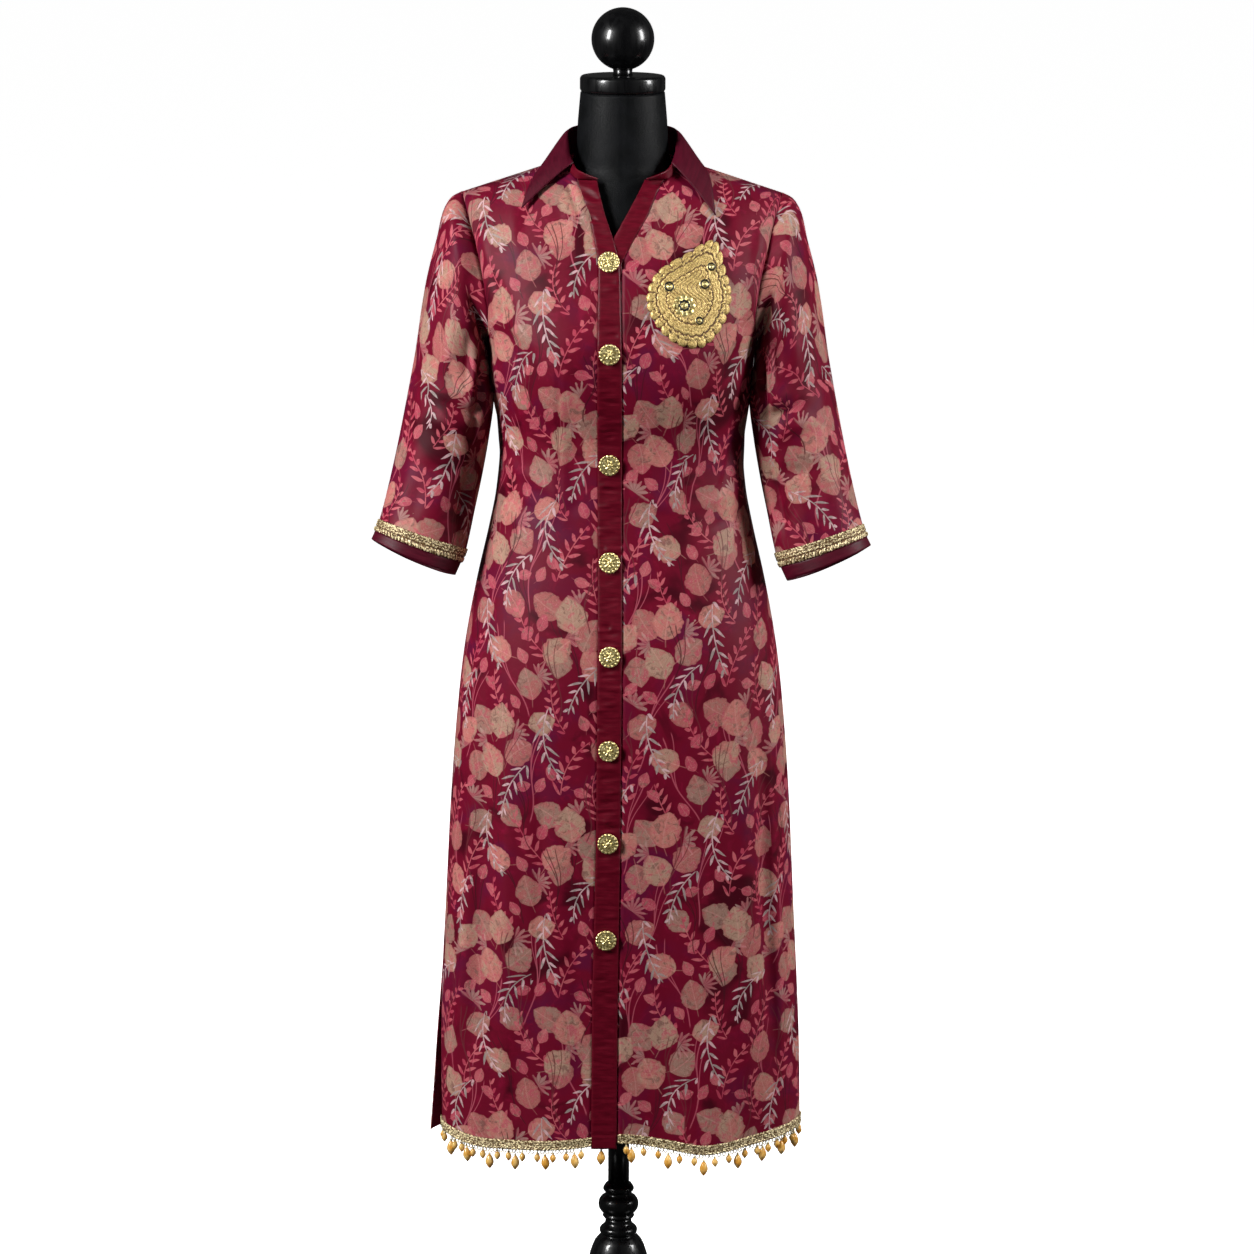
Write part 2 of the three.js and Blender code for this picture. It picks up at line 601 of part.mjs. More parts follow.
function sleeveRing(side, row, i) {
  const nod = THREE.MathUtils.degToRad(row.nod);
  const drop = side * CUFF_DROP * Math.max(0, (i - CUFF_DROP_ROW) / (SLEEVE.length - 1 - CUFF_DROP_ROW));
  const out = new THREE.Vector3(side * row.outX, row.outY, row.outZ - drop);
  const inn = new THREE.Vector3(side * row.inX, row.inY, row.inZ - drop);
  const middle = out.clone().lerp(inn, 0.5);
  const chord = out.clone().sub(middle);
  const forward = new THREE.Vector3(0, -Math.cos(nod), Math.sin(nod)).multiplyScalar(row.depth);
  return ringStops.map(({ rise, face }) => {
    const angle = Math.acos(2 * rise - 1) * (face === 'front' ? 1 : -1);
    const part = (v) => Math.sign(v) * Math.abs(v) ** (2 / SLEEVE_SQUARE);
    return middle.clone().addScaledVector(chord, part(Math.cos(angle)))
      .addScaledVector(forward, part(Math.sin(angle)));
  });
}

const lerpRing = (a, b, t) => a.map((p, j) => p.clone().lerp(b[j], t));
const SEAM_SHARE = 0.015;     // of the distance to the next ring, kept free at the cuff seam

for (const [name, side] of [['right', -1], ['left', 1]]) {
  const rings = [armholeRing(side), ...SLEEVE.map((row, i) => sleeveRing(side, row, i))];
  const seam = CUFF_ROW + 1;
  const end = rings.length - 1;
  const sleeveRings = [...rings.slice(0, seam), lerpRing(rings[seam], rings[seam - 1], SEAM_SHARE)];
  const sleeveGrid = withNormals(sleeveRings, true, side);
  add(shirt, `sleeve_${name}`, wall(sleeveGrid, -CLOTH, 0, true), printed);
  add(shirt, `cuff_braid_${name}`,
    wall(sleeveGrid.slice(TRIM_ROW + 1), LAYER, LAYER + CLOTH, true), gold);
  const cuff = [lerpRing(rings[seam], rings[end], SEAM_SHARE), rings[end]];
  add(shirt, `cuff_${name}`, wall(withNormals(cuff, true, side), -CLOTH, 0, true), satin);
}

// ---------------------------------------------------------------- collar

function collarRow(row, side, i) {
  const z = row.face === 'back' ? topZ(row.neckX, 'back') : straight(FRONT_NECKLINE, 'x', 'z', row.neckX);
  const neck = clothPoint(side * row.neckX, z, row.face);
  const foot = neck.p.addScaledVector(neck.n, COLLAR_LIFT);
  const roll = new THREE.Vector3(side * row.rollX, row.rollY, row.rollZ);
  const edge = new THREE.Vector3(side * row.edgeX, row.edgeY, row.edgeZ);
  const share = side > 0 ? Math.max(0, 1 - (FALL_END - i) / LEFT_POINT.rows) : 0;
  edge.add(new THREE.Vector3(LEFT_POINT.x, LEFT_POINT.y, LEFT_POINT.z).multiplyScalar(share));
  return { foot, roll, edge };
}

const collarRows = [
  ...COLLAR.map((row, i) => collarRow(row, -1, i)).reverse(),
  ...COLLAR.slice(1).map((row, i) => collarRow(row, 1, i + 1)),
];
const standGrid = [0, 0.5, 1].map((t) => collarRows.map((r) => r.foot.clone().lerp(r.roll, t)));
add(shirt, 'collar_stand', wall(withNormals(standGrid, false, -1), -CLOTH, 0), satin);

// The fall rolls over the stand's top edge and lies down to its free edge, a little bowed.
const skip = COLLAR.length - 1 - FALL_END;
const fallRows = collarRows.slice(skip, collarRows.length - skip);
const FALL_STEPS = [0.05, 0.3, 0.65, 1];
const fallGrid = FALL_STEPS.map((t) => fallRows.map((r) => {
  const out = new THREE.Vector3(r.edge.x - r.roll.x, r.edge.y - r.roll.y, 0).normalize();
  const bow = FALL_BULGE * Math.sin(Math.PI * t);
  const p = r.roll.clone().lerp(r.edge, t).addScaledVector(out, bow + CLOTH);
  return p.setZ(p.z + bow * 0.5 + CLOTH * (1 - t));
}));
add(shirt, 'collar', wall(withNormals(fallGrid, false, 1), -CLOTH, 0), satin);

// ---------------------------------------------------------------- patch and buttons

const patchCurve = new THREE.CatmullRomCurve3(
  PATCH_OUTLINE.map(({ x, z }) => new THREE.Vector3(x, 0, z)), true);
const PATCH_SIDES = 44;
const PATCH_SHARES = [0.1, 0.4, 0.7, 1];

function patchRing(share, lift) {
  return Array.from({ length: PATCH_SIDES }, (_, j) => {
    const turn = j / PATCH_SIDES;
    const wave = 1 - PATCH.scallop * (0.5 + 0.5 * Math.cos(2 * Math.PI * turn * PATCH.scallops));
    const p = patchCurve.getPointAt(turn).multiplyScalar(share * wave);
    const seat = onPanel(fronts.left, PATCH.x + p.x, PATCH.z + p.z);
    return seat.p.addScaledVector(seat.n, lift);
  });
}

add(shirt, 'patch', ringSolid([
  ...PATCH_SHARES.map((share) => patchRing(share, PATCH_PAD)),
  ...[...PATCH_SHARES].reverse().map((share) => patchRing(share, PATCH_PAD + 2 * CLOTH)),
]), gold);

// A shank button: the shank meets the band, the dished face has a raised rim and centre.
const BUTTON_PROFILE = [
  [3, 0], [3, 1.6], [BUTTON_R - 1.5, 1.6], [BUTTON_R, 3], [BUTTON_R - 2, 4.4],
  [BUTTON_R - 4, 3.6], [3, 4.8],
];
const BUTTON_SIDES = 14;
BUTTON_Z.forEach((z, i) => {
  const x = (straight(BANDS, 'z', 'overSeam', z) + straight(BANDS, 'z', 'overEdge', z)) / 2;
  const seat = onPanel(overBand, x, z);
  const button = add(shirt, `button_${i + 1}`, turned(BUTTON_PROFILE, BUTTON_SIDES), buttonGold);
  button.position.copy(seat.p).addScaledVector(seat.n, LAP + CLOTH + LAYER);
  button.quaternion.setFromUnitVectors(new THREE.Vector3(0, 0, 1), seat.n);
});

// ---------------------------------------------------------------- dress form

// Distance from the axis to the form's surface, in the direction of an angle from the front.
function formRadius(angle, z, inset) {
  const face = Math.cos(angle) >= 0 ? 'front' : 'back';
  let near = 0;
  let far = 260;
  for (let i = 0; i < 40; i += 1) {
    const r = (near + far) / 2;
    const inside = Math.abs(r * Math.cos(angle)) < bodyDepth(r * Math.sin(angle), z, face, FORM_SHOULDER_DROP);
    if (inside) near = r;
    else far = r;
  }
  const neck = straight(FORM_NECK, 'z', 'radius', z);
  return (Math.max(1, near - inset) ** 8 + neck ** 8) ** (1 / 8);
}

const formRings = FORM_RINGS.map(({ z, inset }) => Array.from({ length: FORM_SIDES }, (_, j) => {
  const angle = 2 * Math.PI * (j + 0.5) / FORM_SIDES;
  const r = formRadius(angle, z, inset);
  return new THREE.Vector3(r * Math.sin(angle), -r * Math.cos(angle), z);
}));
add(stand, 'form_torso', ringSolid(formRings), covered);

// ---------------------------------------------------------------- stand

const capInner = CAP.radius - CAP.edge;
add(stand, 'neck_cap', turned([
  [capInner, CAP.bottom], [CAP.radius, CAP.bottom + CAP.edge], [CAP.radius, CAP.top - CAP.edge],
  [capInner, CAP.top],
], 28), lacquer);
add(stand, 'finial_stem', turned([[STEM.radius, CAP.top + REST_GAP], [STEM.radius, STEM.top]], 16), lacquer);

const ballFlat = Math.acos((STEM.top + REST_GAP - BALL.z) / BALL.radius);
const ballProfile = Array.from({ length: 11 }, (_, i) => {
  const angle = mix(ballFlat, 0.12, i / 10);
  return [BALL.radius * Math.sin(angle), BALL.z + BALL.radius * Math.cos(angle)];
});
add(stand, 'finial_ball', turned(ballProfile, 20), lacquer);

add(stand, 'pole', turned([
  [POLE.radius, POLE.bottom], [POLE.radius, FORM_BOTTOM_Z - REST_GAP],
], 16), lacquer);
add(stand, 'knob', turned([
  [17, 196], [18.5, 198], [16, 201], [21, 204], [23, 211], [21, 219], [15, 223], [14.5, 226],
  [17.5, 229], [17.5, 231], [14.5, KNOB_TOP_Z],
], 20), lacquer);
add(stand, 'column', turned([
  [30, HUB_TOP_Z + REST_GAP], [30, 52], [20, 58], [16, 72], [21, 78], [18, 84], [26, 104],
  [34, 132], [33, 152], [27, 168], [19, 176], [21.8, 180], [20, 185], [15, 190], [15, COLUMN_TOP_Z],
], 20), lacquer);
add(stand, 'base', turned([
  [BASE_R - 4, 0], [BASE_R, 4], [BASE_R, BASE_TOP_Z - 8], [BASE_R - 7, BASE_TOP_Z - 1],
  [60, BASE_TOP_Z + 2], [44, BASE_TOP_Z + 5], [40, HUB_TOP_Z],
], 36), lacquer);

const model = new THREE.Group();
model.add(shirt, stand);
export default model;
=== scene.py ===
import math

import bpy
import numpy as np
from mathutils import Matrix, Vector


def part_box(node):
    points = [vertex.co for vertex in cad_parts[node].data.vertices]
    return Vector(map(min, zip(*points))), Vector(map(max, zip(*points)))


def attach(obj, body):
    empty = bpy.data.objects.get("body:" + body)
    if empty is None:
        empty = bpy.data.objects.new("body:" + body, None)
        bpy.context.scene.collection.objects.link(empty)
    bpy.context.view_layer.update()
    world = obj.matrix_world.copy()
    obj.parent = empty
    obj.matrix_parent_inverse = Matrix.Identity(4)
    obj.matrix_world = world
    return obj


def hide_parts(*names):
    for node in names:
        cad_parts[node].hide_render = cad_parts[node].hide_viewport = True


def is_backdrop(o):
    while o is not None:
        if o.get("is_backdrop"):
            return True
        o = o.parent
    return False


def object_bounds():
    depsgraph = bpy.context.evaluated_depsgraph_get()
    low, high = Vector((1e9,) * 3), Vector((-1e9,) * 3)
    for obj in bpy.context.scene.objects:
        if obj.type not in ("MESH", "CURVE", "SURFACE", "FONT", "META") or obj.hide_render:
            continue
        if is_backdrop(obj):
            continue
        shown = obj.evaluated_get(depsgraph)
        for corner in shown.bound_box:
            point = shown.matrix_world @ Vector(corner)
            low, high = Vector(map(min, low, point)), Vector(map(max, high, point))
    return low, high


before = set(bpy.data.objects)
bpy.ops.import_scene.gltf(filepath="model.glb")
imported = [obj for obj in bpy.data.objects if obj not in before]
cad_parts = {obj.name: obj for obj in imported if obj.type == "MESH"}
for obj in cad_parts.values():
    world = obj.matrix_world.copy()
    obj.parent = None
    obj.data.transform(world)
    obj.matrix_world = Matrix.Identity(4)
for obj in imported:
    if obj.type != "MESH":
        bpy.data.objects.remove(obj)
cad_bounds = [list(corner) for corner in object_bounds()]

# A long printed shirt on a limbless dress form. Everything is in metres, in the part's frame:
# +Z up, +X to the wearer's left, the front faces -Y. Panels repeat the part's own body surface
# at a finer step, with the listed creases laid on.

# ------------------------------------------------------------------ tables


class Table:
    """Rows of numbers with named columns."""

    def __init__(self, names, rows):
        data = np.array(rows, float)
        self.columns = {name: data[:, i] for i, name in enumerate(names.split())}

    def __getitem__(self, name):
        return self.columns[name]

    def __len__(self):
        return len(next(iter(self.columns.values())))

    def row(self, i):
        return {name: column[i] for name, column in self.columns.items()}

    def place(self, by, at):
        sign = 1 if self[by][1] > self[by][0] else -1
        return interval(sign * self[by], sign * np.asarray(at, float))

    def straight(self, by, name, at):
        i, t = self.place(by, at)
        return self[name][i] + (self[name][i + 1] - self[name][i]) * t

    def smooth(self, by, name, at):
        return hermite(self[by], self[name], *self.place(by, at))


def interval(key, at):
    """Which step of a rising key each value lies in, and its share of that step."""
    i = np.clip(np.searchsorted(key, at, side="right") - 1, 0, len(key) - 2)
    return i, np.clip((at - key[i]) / (key[i + 1] - key[i]), 0, 1)


def hermite(key, value, i, t):
    """A smooth curve through the values, its slope at each one taken from its neighbours."""

    def slope(k):
        a, b = np.maximum(0, k - 1), np.minimum(len(key) - 1, k + 1)
        return (value[b] - value[a]) / (key[b] - key[a])

    span = key[i + 1] - key[i]
    t2, t3 = t * t, t * t * t
    return ((2 * t3 - 3 * t2 + 1) * value[i] + (t3 - 2 * t2 + t) * span * slope(i)
            + (3 * t2 - 2 * t3) * value[i + 1] + (t3 - t2) * span * slope(i + 1))


SECTIONS = Table("z half front back square", [
    (0.300, 0.2080, 0.0950, 0.0950, 2.30),
    (0.420, 0.2047, 0.0990, 0.0980, 2.30),
    (0.560, 0.1972, 0.1060, 0.1030, 2.30),
    (0.700, 0.1900, 0.1130, 0.1080, 2.35),
    (0.800, 0.1822, 0.1160, 0.1100, 2.40),
    (0.870, 0.1740, 0.1155, 0.1090, 2.40),
    (0.940, 0.1610, 0.1090, 0.1000, 2.35),
    (1.000, 0.1473, 0.1030, 0.0900, 2.30),
    (1.045, 0.1388, 0.1010, 0.0820, 2.30),
    (1.100, 0.1352, 0.1040, 0.0770, 2.35),
    (1.160, 0.1432, 0.1190, 0.0810, 2.55),
    (1.213, 0.1500, 0.1250, 0.0870, 2.65),
    (1.240, 0.1590, 0.1215, 0.0900, 2.65),
    (1.285, 0.1730, 0.1085, 0.0940, 2.60),
    (1.340, 0.1830, 0.0980, 0.0950, 2.60),
    (1.412, 0.1880, 0.0970, 0.0950, 2.60),
])
BUST = {"x": 0.072, "z": 1.186, "reach_x": 0.040, "reach_z": 0.046, "rise": 0.007}
FOLDS = [
    # face, x, reach, rise, top
    ("front", 0.095, 0.036, 0.009, 0.800),
    ("front", 0.158, 0.022, -0.004, 0.720),
    ("front", -0.070, 0.034, 0.004, 0.760),
    ("front", -0.140, 0.028, -0.004, 0.700),
    ("back", -0.090, 0.040, 0.008, 0.780),
    ("back", 0.010, 0.042, -0.005, 0.760),
    ("back", 0.105, 0.036, 0.007, 0.740),
]
FRONT_HEM = Table("x z", [
    (-0.208, 0.3112), (-0.182, 0.3038), (-0.154, 0.2990), (-0.115, 0.3006), (-0.045, 0.3062),
    (-0.022, 0.3098), (0.010, 0.3118), (0.055, 0.3056), (0.099, 0.2990), (0.160, 0.3050),
    (0.208, 0.3148),
])
BACK_HEM = Table("x z", [(-0.212, 0.2945), (-0.170, 0.3000), (0.0, 0.304), (0.212, 0.301)])
# how far the edges beside the slits stand out and back at the hem, and how near the edge
SLITS = {
    (-1, "front"): (-0.0080, -0.015, 4), (-1, "back"): (0.0085, 0.011, 8),
    (1, "front"): (-0.0015, -0.008, 4), (1, "back"): (-0.0010, 0.008, 4),
}
ARMHOLE = Table("rise front back", [
    (0.00, 0.1500, 0.1500), (0.05, 0.1476, 0.1480), (0.15, 0.1463, 0.1480),
    (0.30, 0.1490, 0.1520), (0.45, 0.1530, 0.1570), (0.60, 0.1580, 0.1620),
    (0.80, 0.1670, 0.1695), (1.00, 0.1760, 0.1760),
])
BANDS = Table("z over_seam over_edge under_edge under_seam", [
    (1.391, -0.0500, -0.0278, 0.0244, 0.0465),
    (1.378, -0.0468, -0.0248, 0.0174, 0.0385),
    (1.355, -0.0368, -0.0184, 0.0045, 0.0290),
    (1.331, -0.0310, -0.0096, -0.0096, 0.0145),
    (1.305, -0.0260, -0.0022, -0.0220, 0.0006),
    (1.208, -0.0269, 0.0003, -0.0224, 0.0007),
    (0.900, -0.0254, 0.0019, -0.0210, 0.0023),
    (0.650, -0.0268, 0.0006, -0.0224, 0.0010),
    (0.480, -0.0306, -0.0016, -0.0260, -0.0012),
    (0.300, -0.0315, -0.0025, -0.0270, -0.0021),
])
SLEEVE = Table("out_x out_y out_z in_x in_y in_z depth nod sag", [
    (0.1895, 0.0000, 1.3630, 0.1514, -0.0030, 1.2090, 0.0640, 0, 0),
    (0.1980, 0.0010, 1.3480, 0.1486, -0.0070, 1.2045, 0.0640, 0, 0),
    (0.2045, 0.0020, 1.3200, 0.1474, -0.0130, 1.1980, 0.0640, 0, 0),
    (0.2110, 0.0040, 1.2910, 0.1463, -0.0190, 1.1890, 0.0630, 0, 0),
    (0.2180, 0.0050, 1.2540, 0.1442, -0.0250, 1.1730, 0.0610, 1, 0),
    (0.2280, 0.0040, 1.1980, 0.1410, -0.0300, 1.1450, 0.0570, 4, 0),
    (0.2405, -0.0030, 1.1310, 0.1466, -0.0220, 1.1010, 0.0530, 6, 0),
    (0.2505, -0.0110, 1.0810, 0.1540, -0.0200, 1.0590, 0.0500, 8, 0.0008),
    (0.2595, -0.0195, 1.0410, 0.1618, -0.0225, 1.0220, 0.0470, 10, 0.0018),
    (0.2680, -0.0295, 1.0085, 0.1718, -0.0295, 0.9755, 0.0440, 12, 0.0030),
    (0.2725, -0.0328, 0.9965, 0.1773, -0.0328, 0.9615, 0.0432, 12.5, 0.0036),
    (0.2770, -0.0365, 0.9870, 0.1840, -0.0365, 0.9470, 0.0425, 13, 0.0042),
])
COLLAR = Table("neck_x back roll_x roll_y roll_z edge_x edge_y edge_z", [
    (0.0000, 1, 0.0000, 0.0570, 1.4430, 0.0000, 0.0770, 1.4010),
    (0.0280, 1, 0.0280, 0.0510, 1.4425, 0.0380, 0.0700, 1.4010),
    (0.0480, 1, 0.0470, 0.0360, 1.4415, 0.0630, 0.0500, 1.4020),
    (0.0600, 1, 0.0580, 0.0170, 1.4400, 0.0780, 0.0220, 1.4045),
    (0.0660, 0, 0.0610, -0.0020, 1.4370, 0.0855, -0.0060, 1.4040),
    (0.0640, 0, 0.0600, -0.0170, 1.4270, 0.0940, -0.0300, 1.3960),
    (0.0615, 0, 0.0580, -0.0310, 1.4165, 0.1020, -0.0500, 1.3810),
    (0.0565, 0, 0.0545, -0.0430, 1.4075, 0.1090, -0.0640, 1.3610),
    (0.0504, 0, 0.0495, -0.0525, 1.4020, 0.1090, -0.0640, 1.3610),
    (0.0425, 0, 0.0425, -0.0605, 1.3985, 0.1090, -0.0640, 1.3610),
    (0.0345, 0, 0.0345, -0.0655, 1.3955, 0.1090, -0.0640, 1.3610),
    (0.0268, 0, 0.0268, -0.0695, 1.3930, 0.1090, -0.0640, 1.3610),
])
FALL_END = 7
LEFT_POINT = np.array([-0.008, -0.002, -0.0065])
LEFT_POINT_ROWS = 2
FRONT_NECKLINE = Table("x z", [
    (0.0268, 1.3905), (0.0425, 1.3908), (0.0504, 1.3915), (0.0565, 1.3964),
    (0.0615, 1.4004), (0.0640, 1.4045), (0.0660, 1.4085),
])
FORM_RINGS = Table("z inset", [
    (0.705, 0.0340), (0.710, 0.0240), (0.724, 0.0170), (0.790, 0.0130), (0.860, 0.0110),
    (0.930, 0.0100), (1.000, 0.0090), (1.060, 0.0080), (1.118, 0.0075), (1.159, 0.0070),
    (1.190, 0.0070), (1.230, 0.0070), (1.270, 0.0070), (1.310, 0.0070), (1.345, 0.0080),
    (1.370, 0.0083), (1.388, 0.0083), (1.402, 0.0046), (1.418, 0.0070), (1.450, 0.0070),
    (1.482, 0.0070),
])
FORM_NECK = Table("z radius", [
    (0.705, 0.0010), (1.300, 0.0400), (1.380, 0.0505), (1.415, 0.0510), (1.452, 0.0490),
    (1.482, 0.0464),
])

CLOTH = 0.0012
UNDERARM_Z = 1.213
NECK_X = 0.066
NECK_Z = 1.4085
SHOULDER_SLOPE = 0.33
NAPE_SLOPE = 0.7
NAPE_RISE = 0.006
TURN_Z = {"front": 1.262, "back": 1.290}
SLIT_TOP_Z = 0.520
SLIT_CURVE = 1.4
HEM_Z = 0.309
NECK_ROW = 0.886
YOKE_ROW = 0.95
YOKE_X = 0.0615
SEAM = 0.0004
BRAID_HEIGHT = 0.0105
FORM_SHOULDER_DROP = 0.012
ARMHOLE_STEP = 0.0003
CUFF_DROP = 0.0025
CUFF_DROP_ROW = 5
TRIM_ROW = 9
CUFF_ROW = 10
SLEEVE_SQUARE = 2.2

# ------------------------------------------------------------------ body surface


def bell(value):
    return np.exp(-value * value)


def wavy(turns, power=1):
    """A row of rounded humps, one for each turn."""
    return np.abs(np.sin(math.pi * turns)) ** power


def rise_to(value, start, reach):
    """0 up to the start, 1 from a reach past it on. A negative reach runs downward."""
    return np.clip((value - start) / reach, 0, 1)


def unit(vectors):
    return vectors / np.maximum(1e-12, np.linalg.norm(vectors, axis=-1, keepdims=True))


def shoulder_z(x, face):
    inside = NECK_X - np.abs(x)
    slope = np.where((face == "back") & (inside > 0), NAPE_SLOPE, SHOULDER_SLOPE)
    return NECK_Z + inside * slope


def shoulder_turn(x, z, face, drop):
    start = TURN_Z[face]
    t = np.maximum(0, (z - start) / (shoulder_z(x, face) - drop - start))
    return np.sqrt(np.maximum(0, 1 - t * t))


def body_depth(x, z, face, drop=0.0):
    half = SECTIONS.smooth("z", "half", z)
    square = SECTIONS.smooth("z", "square", z)
    across = np.minimum(1, np.abs(x) / half) ** square
    depth = SECTIONS.smooth("z", face, z)
    if face == "front":
        depth = depth + BUST["rise"] * bell((np.abs(x) - BUST["x"]) / BUST["reach_x"]) * bell(
            (z - BUST["z"]) / BUST["reach_z"])
    return depth * (1 - across) ** (1 / square) * shoulder_turn(x, z, face, drop)


def cloth_depth(x, z, face):
    half = SECTIONS.smooth("z", "half", z)
    inner = 1 - np.minimum(1, np.abs(x) / half) ** 6
    depth = body_depth(x, z, face)
    for side, middle, reach, rise, top in FOLDS:
        if side == face:
            fade = rise_to(z, top, HEM_Z - top)
            depth = depth + rise * fade * fade * bell((x - middle) / reach) * inner
    return depth


def cloth_point(x, z, face):
    """A point of the cloth's outer side and the way it faces."""
    x, z = np.broadcast_arrays(np.asarray(x, float), np.asarray(z, float))
    sign = -1 if face == "front" else 1
    d = 0.0005
    slope_x = (cloth_depth(x + d, z, face) - cloth_depth(x - d, z, face)) / (2 * d)
    slope_z = (cloth_depth(x, z + d, face) - cloth_depth(x, z - d, face)) / (2 * d)
    y = sign * np.maximum(SEAM, cloth_depth(x, z, face))
    return np.stack([x, y, z], -1), unit(np.stack([-slope_x, np.full_like(x, sign), -slope_z], -1))


def top_z(x, face):
    nape = NECK_Z + NAPE_RISE * np.maximum(0, 1 - (x / NECK_X) ** 2)
    return np.where((face == "back") & (np.abs(x) < NECK_X), nape, shoulder_z(x, face))


# A panel's rows run from -1 at the hem, past 0 at the underarm, to 1 at the shoulder.


def row_z(x, row, face):
    hem = (FRONT_HEM if face == "front" else BACK_HEM).smooth("x", "z", x)
    below = hem + (UNDERARM_Z - hem) * (row + 1)
    above = UNDERARM_Z + (top_z(x, face) - UNDERARM_Z) * row
    return np.where(row <= 0, below, above)


def side_x(row, face, z):
    return np.where(row <= 0, SECTIONS.smooth("z", "half", z), ARMHOLE.smooth("rise", face, row))


def front_inner_x(side, row):
    """Where a front meets its band: on the band's seam, then along the neckline."""
    key = "over_seam" if side < 0 else "under_seam"
    x = np.zeros_like(row)
    for _ in range(4):
        x = BANDS.straight("z", key, row_z(x, np.minimum(row, NECK_ROW), "front"))
    start = np.abs(BANDS.straight("z", key, row_z(x, np.full_like(row, NECK_ROW), "front")))
    low = start + (YOKE_X - start) * rise_to(row, NECK_ROW, YOKE_ROW - NECK_ROW)
    high = YOKE_X + (NECK_X - YOKE_X) * rise_to(row, YOKE_ROW, 1 - YOKE_ROW)
    return np.where(row <= NECK_ROW, x, side * np.where(row < YOKE_ROW, low, high))


def panel(x0, side, face, row, across):
    """Points and normals of a panel, from its inner edge (across 0) to its side edge (1)."""
    x = side * side_x(row, face, UNDERARM_Z) * np.ones_like(across)
    z = row_z(x, row, face)
    for _ in range(3):
        x = x0 + (side * side_x(row, face, z) - x0) * np.sin(across * math.pi / 2)
        z = row_z(x, row, face)
    point, normal = cloth_point(x, z, face)
    out, along, power = SLITS[(side, face)]
    opened = np.maximum(0, (SLIT_TOP_Z - point[..., 2]) / (SLIT_TOP_Z - HEM_Z)) ** SLIT_CURVE
    point[..., 0] += side * out * opened * across ** power
    point[..., 1] += along * opened * across ** power
    return point, normal


# ------------------------------------------------------------------ creases


def crease_lift(u, v, creases):
    """A crease runs along a gently bowed line from one point to the other. It is deepest where
    "peak" says, as a share of its length, and dies out softly at both ends. A negative rise is
    a trough, a positive one a ridge. One of its sides falls away more steeply."""
    lift = np.zeros_like(u)
    for x1, z1, x2, z2, bow, width, rise, peak in creases:
        length = math.hypot(x2 - x1, z2 - z1)
        ax, az = (x2 - x1) / length, (z2 - z1) / length
        s = ((u - x1) * ax + (v - z1) * az) / length
        d = (v - z1) * ax - (u - x1) * az - bow * 4 * s * (1 - s)
        inside = np.clip(s, 0, 1)
        fade = np.where(inside < peak, inside / peak, (1 - inside) / (1 - peak))
        fade = np.sin(fade * math.pi / 2) ** 1.5
        reach = width * np.where(d > 0, 1.25, 0.8) * (0.6 + 0.4 * fade)
        lift += rise * fade * bell(d / reach)
    return lift


def grid_normals(grid, closed=False):
    """Unit normals of a grid of points, by its rows (up) and columns (along)."""
    along = np.roll(grid, -1, 1) - np.roll(grid, 1, 1) if closed else np.gradient(grid, axis=1)
    return unit(np.cross(along, np.gradient(grid, axis=0)))


def arc(grid, axis=0):
    """Distance walked along one axis of a grid, or along a line of points."""
    step = np.linalg.norm(np.diff(grid, axis=axis), axis=-1)
    return np.concatenate([np.zeros_like(step.take([0], axis)), np.cumsum(step, axis)], axis)


# ------------------------------------------------------------------ meshes


def build(name, points, faces, materials, face_material=None):
    """A smooth-shaded mesh object."""
    mesh = bpy.data.meshes.new(name)
    mesh.from_pydata([tuple(p) for p in points], [], [tuple(f) for f in faces])
    mesh.update()
    for material in materials:
        mesh.materials.append(material)
    if face_material is not None:
        mesh.polygons.foreach_set("material_index", np.asarray(face_material, np.int32))
    mesh.polygons.foreach_set("use_smooth", [True] * len(faces))
    obj = bpy.data.objects.new(name, mesh)
    bpy.context.scene.collection.objects.link(obj)
    return obj


def piece(obj, node, slot):
    """Puts an object on the part's one body in a node's place."""
    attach(obj, "root")
    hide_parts(node)
    return obj


def grid_faces(rows, columns, closed=False, start=0, flip=False):
    i = np.arange(rows - 1)[:, None]
    j = np.arange(columns if closed else columns - 1)[None, :]
    k = (j + 1) % columns
    low, high = start + i * columns, start + (i + 1) * columns
    quads = np.stack([low + j, low + k, high + k, high + j], -1).reshape(-1, 4)
    return quads[:, ::-1] if flip else quads


def capped_faces(levels, sides, start=0, flip=False):
    """Quads round a stack of rings, with a flat face over each end."""
    first = list(range(start, start + sides))
    last = [k + (levels - 1) * sides for k in first]
    caps = [first, last[::-1]] if flip else [first[::-1], last]
    return grid_faces(levels, sides, True, start, flip).tolist() + caps


def rim_faces(rows, columns, offset, closed):
    """Quads that join the edges of two equal grids, the second starting at offset."""
    bottom = np.arange(columns)
    top = (rows - 1) * columns + bottom[::-1]
    sides = np.arange(1, rows - 1) * columns
    loops = [bottom, top] if closed else [
        np.concatenate([bottom, sides + columns - 1, top, sides[::-1]])]
    return np.concatenate([
        np.stack([np.roll(loop, -1), loop, loop + offset, np.roll(loop, -1) + offset], -1)
        for loop in loops])


